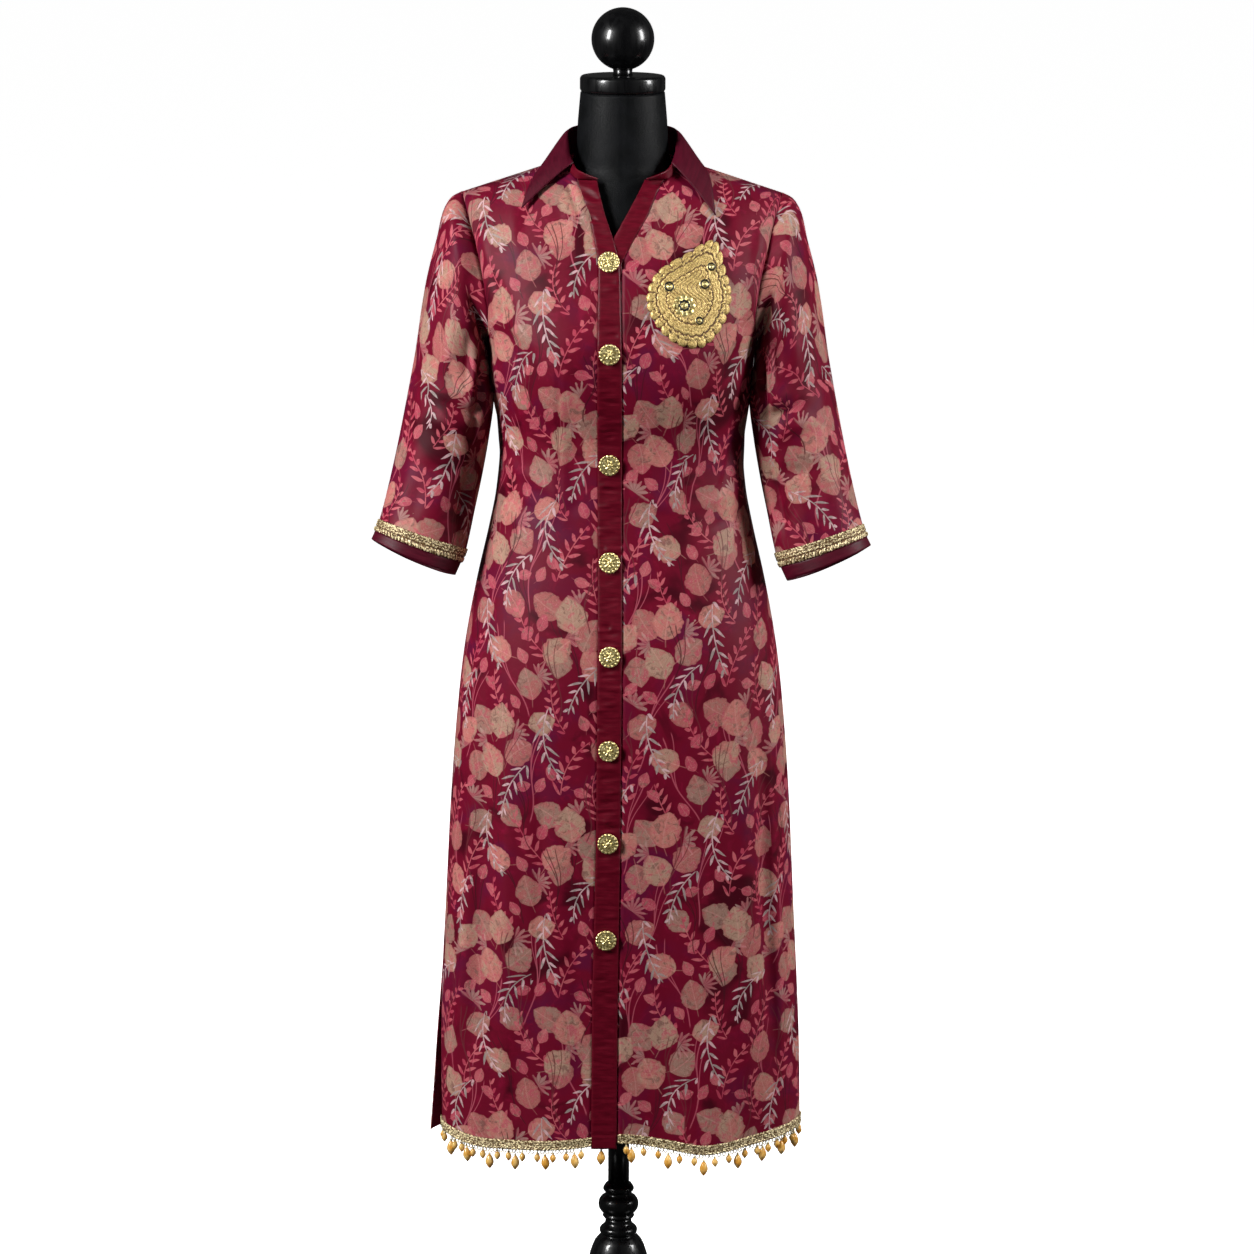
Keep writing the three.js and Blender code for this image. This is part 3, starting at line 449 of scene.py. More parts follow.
def shell(name, grid, thickness, materials, uv, outward, closed=False):
    """A thin cloth shell: the outer face is the grid, the inner lies a thickness behind it."""
    rows, columns = grid.shape[:2]
    normal = grid_normals(grid, closed)
    flip = bool(np.sum(normal * outward) < 0)
    inner = grid + normal * thickness if flip else grid - normal * thickness
    rims = rim_faces(rows, columns, rows * columns, closed)
    faces = [grid_faces(rows, columns, closed, 0, flip),
             grid_faces(rows, columns, closed, rows * columns, not flip),
             rims[:, ::-1] if flip else rims]
    slots = np.repeat([0, len(materials) - 1, 0], [len(part) for part in faces])
    faces = np.concatenate(faces)
    points = np.concatenate([grid.reshape(-1, 3), inner.reshape(-1, 3)])
    obj = build(name, points, faces, materials, slots)
    layer = obj.data.uv_layers.new(name="cut")
    corners = np.tile(uv.reshape(-1, 2), (2, 1))[faces.reshape(-1)]
    layer.data.foreach_set("uv", corners.astype(np.float32).ravel())
    return obj


# ------------------------------------------------------------------ materials


def srgb(*parts):
    """A colour of 0 to 255 as linear light."""
    return tuple(((c / 255 + 0.055) / 1.055) ** 2.4 if c > 10 else c / 3294.6
                 for c in parts) + (1.0,)


class Value:
    """What a node gives, so that the sums below read as plain sums."""

    def __init__(self, look, socket):
        self.look, self.socket = look, socket

    def __add__(self, other):
        return self.look.math("ADD", self, other)

    def __sub__(self, other):
        return self.look.math("SUBTRACT", self, other)

    def __rsub__(self, other):
        return self.look.math("SUBTRACT", other, self)

    def __mul__(self, other):
        return self.look.math("MULTIPLY", self, other)

    def __truediv__(self, other):
        return self.look.math("DIVIDE", self, other)

    def __pow__(self, other):
        return self.look.math("POWER", self, other)

    def __abs__(self):
        return self.look.math("ABSOLUTE", self)

    def sine(self):
        return self.look.math("SINE", self)

    def part(self):
        return self.look.math("FRACT", self)

    def clamped(self):
        """The same sum, held between 0 and 1."""
        self.socket.node.use_clamp = True
        return self

    def larger(self, other):
        return self.look.math("MAXIMUM", self, other)

    def ramp(self, low, high, to_low=0.0, to_high=1.0):
        """A smooth step from to_low, at low, to to_high, at high."""
        return self.look.value("ShaderNodeMapRange", {
            "Value": self, "From Min": low, "From Max": high, "To Min": to_low,
            "To Max": to_high}, interpolation_type="SMOOTHSTEP")

    def between(self, first, second):
        """A colour from the first, at 0, to the second, at 1."""
        node = self.look.node("ShaderNodeMix", {"Factor": self}, data_type="RGBA")
        sockets = [s for s in node.inputs if s.type == "RGBA"]
        for socket, color in zip(sockets, (first, second)):
            self.look.put(socket, color)
        return Value(self.look, [s for s in node.outputs if s.type == "RGBA"][0])

    def tinted(self, color, share):
        """This colour with a share of another over it."""
        return share.between(self, color)


class Look:
    """A material with a Principled shader, and short names for the nodes that feed it."""

    def __init__(self, name, **sockets):
        self.material = bpy.data.materials.new(name)
        self.material.use_nodes = True
        self.tree = self.material.node_tree
        self.shader = self.tree.nodes["Principled BSDF"]
        for key, value in sockets.items():
            self.shader.inputs[key.replace("_", " ")].default_value = value

    def put(self, socket, value):
        if isinstance(value, Value):
            self.tree.links.new(value.socket, socket)
        else:
            socket.default_value = value

    def node(self, kind, links=(), **settings):
        node = self.tree.nodes.new(kind)
        for key, value in settings.items():
            setattr(node, key, value)
        for key, value in dict(links).items():
            self.put(node.inputs[key], value)
        return node

    def value(self, kind, links=(), output=0, **settings):
        return Value(self, self.node(kind, links, **settings).outputs[output])

    def math(self, operation, *values):
        return self.value("ShaderNodeMath", enumerate(values), operation=operation)

    def noise(self, vector, scale, detail=2.0, roughness=0.5, distortion=0.0):
        return self.value("ShaderNodeTexNoise", {
            "Vector": vector, "Scale": scale, "Detail": detail, "Roughness": roughness,
            "Distortion": distortion})

    def scaled(self, vector, x, y, z=1.0):
        return self.value("ShaderNodeMapping", {"Vector": vector, "Scale": (x, y, z)})

    def cut(self):
        return self.value("ShaderNodeUVMap", uv_map="cut")

    def object_place(self):
        return self.value("ShaderNodeTexCoord", output="Object")

    def split(self, vector):
        node = self.node("ShaderNodeSeparateXYZ", {"Vector": vector})
        return [Value(self, socket) for socket in node.outputs]

    def attribute(self, name):
        return self.split(self.value("ShaderNodeAttribute", output="Vector", attribute_name=name))

    def bump(self, height, strength, distance):
        return self.value("ShaderNodeBump", {
            "Height": height, "Strength": strength, "Distance": distance})

    def thread_bump(self, place, pitch, strength, distance):
        """Warp and weft of a fine plain weave, with slubs."""
        x, y, _ = self.split(place)
        turn = 2 * math.pi / pitch
        weave = (x * turn).sine() * (y * turn).sine()
        slub = self.noise(self.scaled(place, 90, 900), 1.0)
        return self.bump(weave * 0.35 + slub, strength, distance)

    def finish(self, color, roughness=None, normal=None):
        for key, value in (("Base Color", color), ("Roughness", roughness), ("Normal", normal)):
            if value is not None:
                self.put(self.shader.inputs[key], value)
        return self.material


# ------------------------------------------------------------------ the print

REPEAT_U = 0.190
REPEAT_V = 0.236

# Motifs charted in one repeat: u, v of the middle, turn in degrees from upright
# (clockwise), width, length, tone
LEAVES_UNDER = [
    (0.030, 0.198, -35, 0.034, 0.044, 0.20), (0.074, 0.168, 50, 0.033, 0.043, 0.62),
    (0.020, 0.150, 170, 0.031, 0.041, 0.85), (0.112, 0.100, -60, 0.034, 0.044, 0.35),
    (0.156, 0.066, 25, 0.035, 0.046, 0.55), (0.124, 0.040, 190, 0.032, 0.041, 0.10),
    (0.172, 0.176, 12, 0.030, 0.042, 0.75), (0.088, 0.010, -15, 0.032, 0.043, 0.95),
    (0.022, 0.084, 60, 0.031, 0.041, 0.45), (0.066, 0.100, 140, 0.029, 0.038, 0.28),
]
LEAVES_OVER = [
    (0.052, 0.200, 8, 0.038, 0.049, 0.50), (0.042, 0.154, -25, 0.036, 0.047, 0.12),
    (0.004, 0.184, 40, 0.031, 0.041, 0.68), (0.134, 0.088, -8, 0.039, 0.049, 0.25),
    (0.118, 0.050, 50, 0.034, 0.044, 0.80), (0.164, 0.034, -40, 0.034, 0.045, 0.40),
    (0.180, 0.128, -22, 0.032, 0.043, 0.92), (0.100, 0.206, 75, 0.029, 0.038, 0.33),
    (0.052, 0.046, -70, 0.032, 0.042, 0.60),
]
BURSTS = [
    (0.018, 0.116, 35, 0.026, 0.026, 0.3), (0.140, 0.108, -60, 0.024, 0.024, 0.8),
    (0.078, 0.190, 100, 0.026, 0.026, 0.5), (0.104, 0.026, 60, 0.024, 0.024, 0.1),
    (0.186, 0.054, -25, 0.026, 0.026, 0.65), (0.026, 0.176, -100, 0.024, 0.024, 0.9),
    (0.136, 0.064, 120, 0.026, 0.026, 0.45),
]
LEAVES_SMALL = [
    (0.100, 0.134, 30, 0.013, 0.023, 0.2), (0.114, 0.148, -30, 0.012, 0.020, 0.7),
    (0.034, 0.118, -50, 0.014, 0.023, 0.5), (0.080, 0.132, 70, 0.013, 0.021, 0.9),
    (0.150, 0.206, -20, 0.014, 0.022, 0.4), (0.162, 0.226, 35, 0.013, 0.021, 0.1),
    (0.026, 0.024, 20, 0.014, 0.022, 0.8), (0.038, 0.008, -60, 0.012, 0.019, 0.3),
    (0.184, 0.090, 60, 0.013, 0.022, 0.6), (0.072, 0.226, -35, 0.013, 0.021, 0.5),
    (0.146, 0.128, 110, 0.013, 0.021, 0.0), (0.086, 0.070, -140, 0.013, 0.022, 0.4),
    (0.103, 0.080, 25, 0.014, 0.023, 0.6), (0.080, 0.042, -30, 0.014, 0.023, 0.2),
    (0.011, 0.128, 50, 0.013, 0.021, 0.7),
]
FERNS = [
    (0.134, 0.162, 30, 0.030, 0.074, 0.3), (0.084, 0.072, -32, 0.029, 0.068, 0.6),
    (0.010, 0.034, 18, 0.029, 0.070, 0.8), (0.172, 0.216, 24, 0.029, 0.068, 0.1),
    (0.048, 0.228, -26, 0.028, 0.062, 0.5), (0.116, 0.222, -16, 0.026, 0.058, 0.9),
    (0.160, 0.124, -8, 0.027, 0.062, 0.4),
]
WILLOWS = [
    (0.106, 0.180, 168, 0.034, 0.084, 0.2), (0.064, 0.128, 205, 0.032, 0.070, 0.7),
    (0.034, 0.060, 160, 0.033, 0.078, 0.5), (0.186, 0.104, 190, 0.032, 0.072, 0.9),
    (0.146, 0.012, 214, 0.032, 0.068, 0.4),
]
TWIGS = [
    (0.094, 0.150, 8, 0.030, 0.120, 0.2), (0.136, 0.040, -14, 0.034, 0.110, 0.6),
    (0.036, 0.090, 20, 0.030, 0.120, 0.8), (0.176, 0.160, -6, 0.028, 0.100, 0.4),
    (0.064, 0.024, -24, 0.030, 0.110, 0.9), (0.012, 0.206, 12, 0.028, 0.110, 0.1),
]
TWIGS_DARK = [
    (0.062, 0.156, 4, 0.030, 0.090, 0.3), (0.118, 0.016, -8, 0.028, 0.100, 0.7),
    (0.156, 0.110, 6, 0.032, 0.080, 0.1), (0.008, 0.060, -4, 0.030, 0.090, 0.5),
    (0.170, 0.216, 10, 0.028, 0.080, 0.9), (0.082, 0.098, -12, 0.026, 0.080, 0.6),
]
MOTIFS = {"leaf_under": LEAVES_UNDER, "leaf_over": LEAVES_OVER, "leaf_small": LEAVES_SMALL,
          "burst": BURSTS, "fern": FERNS, "willow": WILLOWS, "twig": TWIGS,
          "twig_dark": TWIGS_DARK}


def read_cut(obj):
    """The flat place of each face corner."""
    flat = np.zeros(len(obj.data.loops) * 2, np.float32)
    obj.data.uv_layers["cut"].data.foreach_get("uv", flat)
    return flat.reshape(-1, 2)


def repeated(motifs, low, high):
    """The motifs of every repeat between two corners. Every second column drops by half."""
    placed = []
    for i in range(int(low[0] // REPEAT_U) - 1, int(high[0] // REPEAT_U) + 2):
        drop = REPEAT_V / 2 * (i % 2)
        bottom, top = (int((edge - drop) // REPEAT_V) for edge in (low[1], high[1]))
        for j in range(bottom - 1, top + 2):
            for u, v, turn, width, length, tone in motifs:
                placed.append((u + i * REPEAT_U, v + j * REPEAT_V + drop, math.radians(turn),
                               width, length, (tone + 0.137 * i + 0.291 * j) % 1))
    return np.array(placed)


def motif_place(points, u, v, turn, width, length):
    """Where points lie in a motif's own frame."""
    du, dv = points[..., 0] - u, points[..., 1] - v
    return ((du * np.cos(turn) - dv * np.sin(turn)) / width,
            (du * np.sin(turn) + dv * np.cos(turn)) / length)


def lay_motifs(obj):
    """For each motif layer, every face takes the nearest motif, and its corners keep their
    place in that motif's own frame: -1 to 1 across and along, and a tone."""
    corners = read_cut(obj).reshape(-1, 4, 2).astype(float)
    middle = corners.mean(1)
    reach = max(motif[4] for motifs in MOTIFS.values() for motif in motifs) / 2
    for layer, motifs in MOTIFS.items():
        placed = repeated(motifs, middle.min(0) - reach, middle.max(0) + reach)
        chosen = np.zeros(len(middle), int)
        nearest = np.full(len(middle), np.inf)
        for k, motif in enumerate(placed):
            p, q = motif_place(middle, *motif[:5])
            distance = p * p + q * q
            closer = distance < nearest
            nearest[closer] = distance[closer]
            chosen[closer] = k
        u, v, turn, width, length, tone = placed[chosen].T[:, :, None]
        p, q = motif_place(corners, u, v, turn, width / 2, length / 2)
        value = np.stack([p, q, np.broadcast_to(tone, p.shape)], -1)
        attribute = obj.data.attributes.new(layer, "FLOAT_VECTOR", "CORNER")
        attribute.data.foreach_set("vector", value.astype(np.float32).ravel())


class Washes:
    """Soft noises over the cloth that the print's layers share."""

    def __init__(self, look):
        cut = look.cut()
        self.ground = look.noise(cut, 13, 3.0, 0.55, 0.8)
        self.edge = look.noise(cut, 150, 1.0)
        self.patch = look.noise(cut, 62, 3.0, 0.6, 1.2)
        self.cloud = look.noise(cut, 105, 3.0, 0.6, 1.0)
        self.vein = look.noise(look.scaled(cut, 1.0, 0.55), 170, 2.0, 0.5, 2.5)


# In a layer's function, p and q run from -1 to 1 across and along the motif, and tone is 0 to 1.


def leaf_color(look, base, layer, washes, rosy, dusty, strength):
    """Leaves from rounded to pointed, each with a short stem, a midrib and its own tone."""
    p, q, tone = look.attribute(layer)
    t = ((q + 0.72) / 1.72).clamped()
    belly = (t ** 0.86 * math.pi).sine() ** tone.ramp(0.0, 1.0, 0.60, 0.88)
    lean = (tone - 0.5) * (1.0 - q * q) * 0.35
    beside = abs(p - lean)
    gap = belly * washes.edge.ramp(0.25, 0.75, 0.88, 1.04) - abs(p - lean * 0.6)
    bend = abs(p - (q + 0.72) * (tone - 0.5) * 1.6)
    stem = bend.ramp(0.05, 0.02) * q.ramp(-1.15, -1.0) * q.ramp(-0.60, -0.68) * 0.7
    rib = abs(((q - beside * 0.55) * 2.6).part() - 0.5)
    tint = ((tone - 0.5) * 0.30 + washes.patch).ramp(0.38, 0.64).between(rosy, dusty)
    tint = tint.tinted(srgb(180, 80, 94), washes.cloud.ramp(0.54, 0.64) * 0.75)
    tint = tint.tinted(srgb(118, 84, 76), washes.cloud.ramp(0.46, 0.34) * 0.80)
    tint = tint.tinted(srgb(198, 160, 146), abs(washes.vein - 0.5).ramp(0.022, 0.004) * 0.42)
    tint = tint.tinted(srgb(206, 148, 138), beside.ramp(0.06, 0.015) * 0.32)
    tint = tint.tinted(srgb(126, 70, 72), rib.ramp(0.08, 0.02) * 0.26)
    tint = tint.tinted(srgb(140, 66, 72), gap.ramp(0.22, 0.0) * 0.50)
    return base.tinted(tint, gap.ramp(0.0, 0.06).larger(stem) * strength)


def burst_color(look, base, layer, washes):
    """Half-open heads of narrow pointed petals, fanned from their foot."""
    p, q, tone = look.attribute(layer)
    q = q + 0.55
    angle = look.math("ARCTAN2", p, q)
    away = look.math("SQRT", p * p + q * q)
    beside = abs((angle * tone.ramp(0.0, 1.0, 1.7, 2.4) + tone).part() - 0.5)
    reach = beside.ramp(0.5, 0.0, 0.85, 1.5) * washes.edge.ramp(0.3, 0.7, 0.78, 1.05)
    head = (reach - away).ramp(0.0, 0.06) * abs(angle).ramp(1.75, 1.35)
    tint = washes.patch.ramp(0.42, 0.60).between(srgb(186, 102, 108), srgb(176, 142, 132))
    tint = tint.tinted(srgb(120, 46, 60), beside.ramp(0.36, 0.46) * 0.55)
    tint = tint.tinted(srgb(206, 176, 166), beside.ramp(0.10, 0.03) * 0.40)
    return base.tinted(tint, head * 0.52)


def sprig_color(look, base, layer, washes, shape, first, second):
    """A bowed stem with separate curved leaflets, left and right in turn, of uneven length."""
    p, q, tone = look.attribute(layer)
    bent = p - q * q * ((tone + 0.4) * shape["bow"])
    side = abs(bent)
    left = look.math("LESS_THAN", bent, 0.0)
    t = (q + 1.0) * 0.5
    run = t * shape["pairs"] - side ** 1.3 * shape["slant"] + left * 0.5
    number = look.math("FLOOR", run)
    beside = abs(run - number - 0.5)
    root = number / shape["pairs"]
    chance = ((number * 12.9 + (left * 4.7 + tone * 37.0)).sine() * 43.7).part()
    full = root.ramp(1.0, 0.35, 0.50, 1.0) * shape["reach"] * chance.ramp(0.0, 1.0, 0.72, 1.12)
    belly = ((side / full).clamped() * math.pi).sine() ** 0.85 * shape["fat"]
    leaflet = (belly - beside).ramp(0.0, 0.05) * root.ramp(-0.10, 0.02) * root.ramp(1.0, 0.93)
    stem = side.ramp(0.06, 0.025) * t.ramp(0.0, 0.04) * t.ramp(1.0, 0.96)
    tint = (washes.cloud + (chance - 0.5) * 0.2).ramp(0.4, 0.6).between(first, second)
    return base.tinted(tint, leaflet.larger(stem) * shape["shade"])


def twig_color(look, base, layer, dark, light, strength):
    """Thin forked twigs."""
    p, q, tone = look.attribute(layer)
    wave = (q * 3.4 + tone * 6.3).sine() * 0.30
    fork = abs(p - (wave + (q + 0.2) * 0.62))
    back = abs(p - wave + (q - 0.1) * 0.55)
    line = abs(p - wave).ramp(0.07, 0.03)
    line = line.larger(fork.ramp(0.055, 0.02) * q.ramp(-0.2, -0.15))
    line = line.larger(back.ramp(0.05, 0.02) * q.ramp(0.1, 0.15))
    tint = look.math("GREATER_THAN", tone, 0.35).between(dark, light)
    return base.tinted(tint, line * (q.ramp(-1.0, -0.9) * q.ramp(1.0, 0.9)) * strength)


# pairs of leaflets, their reach, slant and fullness, the stem's bow, how strongly they print
FERN = {"pairs": 6, "reach": 0.80, "slant": 0.95, "fat": 0.25, "bow": 0.60, "shade": 0.82}
WILLOW = {"pairs": 6, "reach": 0.74, "slant": 1.55, "fat": 0.20, "bow": -0.75, "shade": 0.86}


def printed_cloth():
    look = Look("printed_cloth", Roughness=0.50, Specular_IOR_Level=0.12)
    washes = Washes(look)
    color = washes.ground.ramp(0.48, 0.70).between(srgb(102, 6, 33), srgb(88, 11, 46))
    color = color.tinted(srgb(122, 10, 44), washes.patch.ramp(0.52, 0.74) * 0.8)
    color = color.tinted(srgb(62, 2, 18), washes.ground.ramp(0.46, 0.32))
    color = twig_color(look, color, "twig", srgb(66, 16, 28), srgb(168, 76, 92), 0.8)
    color = leaf_color(look, color, "leaf_under", washes, srgb(168, 96, 92),
                       srgb(150, 118, 104), 0.84)
    color = burst_color(look, color, "burst", washes)
    color = sprig_color(look, color, "fern", washes, FERN, srgb(174, 62, 82), srgb(192, 96, 104))
    color = leaf_color(look, color, "leaf_over", washes, srgb(182, 110, 102),
                       srgb(164, 132, 112), 0.92)
    color = leaf_color(look, color, "leaf_small", washes, srgb(176, 66, 86),
                       srgb(186, 92, 100), 0.80)
    color = twig_color(look, color, "twig_dark", srgb(60, 16, 26), srgb(96, 40, 46), 0.75)
    color = sprig_color(look, color, "willow", washes, WILLOW, srgb(204, 168, 172),
                        srgb(144, 134, 130))
    return look.finish(color, None, look.thread_bump(look.cut(), 0.0009, 0.25, 0.0002))


# ------------------------------------------------------------------ plain materials


def plain_cloth(name, dark, light, rough):
    look = Look(name, Specular_IOR_Level=0.22)
    cut = look.cut()
    streak = look.noise(look.scaled(cut, 1.0, 6.0), 60, 3.0, 0.6)
    return look.finish(streak.ramp(0.3, 0.7).between(dark, light),
                       streak.ramp(0.2, 0.8, rough - 0.05, rough + 0.08),
                       look.thread_bump(cut, 0.0007, 0.18, 0.00015))


def metal(name, dark, light, rough, scale, metallic, spread=0.15):
    look = Look(name, Metallic=metallic)
    place = look.object_place()
    # random tone over the metal: wear on the buttons, patch and black thread; with a narrow spread,
    # as on the gold thread, sharp flecks of painted glint and painted shade
    wear_and_glints = look.noise(place, scale, 3.0)
    return look.finish(wear_and_glints.ramp(0.5 - spread, 0.5 + spread).between(dark, light),
                       wear_and_glints.ramp(0.2, 0.8, rough - 0.06, rough + 0.1),
                       look.bump(look.noise(place, scale * 6), 0.3, 0.0003))


def amber():
    look = Look("amber_bead", Roughness=0.12, Coat_Weight=0.5, Transmission_Weight=0.25, IOR=1.5)
    cloud = look.noise(look.object_place(), 120)
    return look.finish(cloud.ramp(0.35, 0.65).between(srgb(222, 160, 62), srgb(246, 206, 124)))


def cover():
    """The form's finely grained leather-like cover."""
    look = Look("form_cover", Specular_IOR_Level=0.10)
    place = look.object_place()
    grain = look.value("ShaderNodeTexVoronoi", {"Vector": place, "Scale": 620.0}, "Distance",
                       feature="DISTANCE_TO_EDGE")
    soft = look.noise(place, 40, 3.0)
    return look.finish(soft.ramp(0.3, 0.7).between(srgb(8, 9, 10), srgb(13, 14, 16)),
                       soft.ramp(0.3, 0.7, 0.44, 0.56),
                       look.bump(grain.ramp(0.0, 0.25), 0.35, 0.0003))


def lacquer():
    look = Look("black_lacquer", Coat_Weight=0.35, Coat_Roughness=0.10, Specular_IOR_Level=0.3)
    wood = look.noise(look.scaled(look.object_place(), 1.0, 1.0, 0.15), 160, 3.0)
    return look.finish(wood.ramp(0.35, 0.65).between(srgb(5, 5, 6), srgb(10, 10, 11)),
                       wood.ramp(0.3, 0.7, 0.24, 0.34), look.bump(wood, 0.03, 0.0001))


PRINT = printed_cloth()
# the cloth's reverse: paler than its face, as the back of a print is, and lightened further so the
# shaded insides show red; partly its own colour, partly painted light
REVERSE_PAINTED_LIGHT = plain_cloth("cloth_reverse_painted_light", srgb(168, 22, 62), srgb(184, 42, 82), 0.75)
SATIN = plain_cloth("satin", srgb(78, 0, 18), srgb(96, 1, 25), 0.42)
SATIN_DARK = plain_cloth("collar_satin", srgb(62, 0, 20), srgb(78, 2, 27), 0.50)
# the gold thread's sharp speckle of bright and dark is painted glints and painted shade between its
# threads
GOLD_THREAD = metal("gold_thread", srgb(98, 70, 34), srgb(246, 228, 180), 0.42, 520, 0.35, 0.07)
GOLD_PALE = metal("button_gold", srgb(178, 154, 86), srgb(236, 220, 158), 0.30, 500, 0.75)
GOLD_RICH = metal("patch_gold", srgb(158, 126, 68), srgb(232, 204, 132), 0.42, 640, 0.40, 0.16)
# a darker gold for faces low in the braids' and patch's relief, the braid tape and the patch's
# underside: painted shade in the gaps between coils and cords
GOLD_PAINTED_SHADE = metal("gold_painted_shade", srgb(64, 38, 24), srgb(116, 84, 48), 0.60, 600, 0.2)
BLACK_RING = metal("black_thread", srgb(22, 20, 18), srgb(48, 42, 34), 0.4, 500, 0.2)
AMBER, COVER, LACQUER = amber(), cover(), lacquer()

# ------------------------------------------------------------------ body panels

LOW_ROWS = 185
HIGH_ROWS = 42
ANCHOR_ROW = LOW_ROWS - 30
FINE_ROWS = np.concatenate([np.linspace(-1, 0, LOW_ROWS),
                            np.linspace(0, 1, HIGH_ROWS)[1:]])[:, None]
FRONT_COLUMNS = 57
BACK_COLUMNS = 53
BACK_START_U = 0.32

DART = {"x": 0.068, "top": 1.218, "widest": 1.060, "bottom": 1.012, "deep": 0.011}

# x1, z1, x2, z2, bow, width, rise, peak
FRONT_CREASES = [
    # beside the open neck, where the print is gathered into the over band
    (-0.0575, 1.400, -0.0330, 1.330, 0.0020, 0.0042, 0.0044, 0.35),
    (-0.0650, 1.398, -0.0385, 1.318, 0.0025, 0.0030, -0.0030, 0.40),
    (-0.0500, 1.388, -0.0310, 1.312, 0.0010, 0.0018, -0.0022, 0.35),
    (-0.0720, 1.385, -0.0480, 1.300, 0.0040, 0.0060, 0.0016, 0.40),
    (0.0540, 1.388, 0.0230, 1.318, -0.003, 0.0050, 0.0024, 0.40),
    (0.0620, 1.384, 0.0320, 1.306, -0.003, 0.0050, -0.0018, 0.40),
    # from the armholes
    (-0.148, 1.262, -0.112, 1.150, 0.010, 0.0095, -0.0060, 0.35),
    (-0.152, 1.240, -0.086, 1.206, 0.006, 0.0080, 0.0040, 0.30),
    (-0.138, 1.215, -0.122, 1.085, -0.006, 0.0085, 0.0044, 0.40),
    (-0.130, 1.190, -0.106, 1.060, -0.006, 0.0065, -0.0040, 0.40),
    (-0.114, 1.180, -0.090, 1.080, -0.004, 0.0050, 0.0022, 0.45),
    (-0.146, 1.300, -0.128, 1.220, 0.004, 0.0080, -0.0034, 0.60),
    (0.149, 1.255, 0.118, 1.140, -0.010, 0.0095, -0.0056, 0.35),
    (0.150, 1.230, 0.096, 1.192, -0.004, 0.0085, 0.0038, 0.30),
    (0.138, 1.190, 0.120, 1.060, 0.006, 0.0080, 0.0042, 0.45),
    (0.127, 1.160, 0.104, 1.030, 0.005, 0.0055, -0.0034, 0.45),
    (0.147, 1.300, 0.130, 1.215, -0.004, 0.0080, -0.0034, 0.60),
    # drag lines at the waist
    (-0.136, 1.078, -0.064, 1.040, 0.005, 0.0060, 0.0030, 0.35),
    (-0.138, 1.046, -0.076, 1.022, -0.003, 0.0050, -0.0026, 0.30),
    (-0.140, 1.018, -0.090, 1.004, 0.003, 0.0050, 0.0020, 0.30),
    (0.136, 1.056, 0.074, 1.036, 0.004, 0.0060, 0.0028, 0.30),
    (0.140, 1.024, 0.090, 1.006, -0.003, 0.0050, -0.0024, 0.30),
    (-0.030, 1.048, -0.075, 1.030, 0.002, 0.0060, -0.0014, 0.50),
    (0.012, 1.052, 0.070, 1.030, -0.002, 0.0060, 0.0016, 0.50),
    # soft lengthwise drape of the skirt
    (-0.148, 0.960, -0.172, 0.330, 0.006, 0.0110, -0.0056, 0.60),
    (-0.160, 0.820, -0.190, 0.330, 0.003, 0.0060, 0.0034, 0.65),
    (-0.112, 0.900, -0.130, 0.315, -0.005, 0.0140, 0.0044, 0.75),
    (-0.092, 0.860, -0.096, 0.400, 0.004, 0.0090, -0.0024, 0.55),
    (-0.060, 0.820, -0.052, 0.320, 0.004, 0.0130, -0.0034, 0.80),
    (0.152, 0.950, 0.178, 0.330, -0.004, 0.0085, -0.0062, 0.60),
    (0.163, 0.900, 0.188, 0.330, -0.003, 0.0038, 0.0036, 0.60),
    (0.126, 0.900, 0.142, 0.315, 0.005, 0.0110, 0.0046, 0.80),
    (0.100, 0.860, 0.104, 0.420, -0.004, 0.0090, -0.0024, 0.50),
    (0.050, 0.800, 0.054, 0.312, -0.004, 0.0130, -0.0040, 0.85),
    (0.020, 0.700, 0.022, 0.312, 0.003, 0.0090, 0.0022, 0.85),
    # over the bust and below it
    (-0.060, 1.160, -0.052, 1.010, 0.004, 0.0100, -0.0022, 0.40),
    (0.050, 1.168, 0.046, 1.000, -0.004, 0.0100, -0.0022, 0.40),
    (-0.040, 1.140, -0.094, 1.120, 0.004, 0.0080, -0.0014, 0.50),
    # shoulders
    (-0.096, 1.392, -0.118, 1.320, 0.004, 0.0080, -0.0024, 0.40),
    (-0.120, 1.385, -0.110, 1.300, -0.004, 0.0080, 0.0018, 0.40),
    (-0.150, 1.352, -0.138, 1.280, -0.004, 0.0080, 0.0028, 0.45),
    (0.104, 1.390, 0.122, 1.326, -0.004, 0.0080, -0.0024, 0.40),
    (0.150, 1.350, 0.140, 1.280, 0.004, 0.0080, 0.0028, 0.45),
]
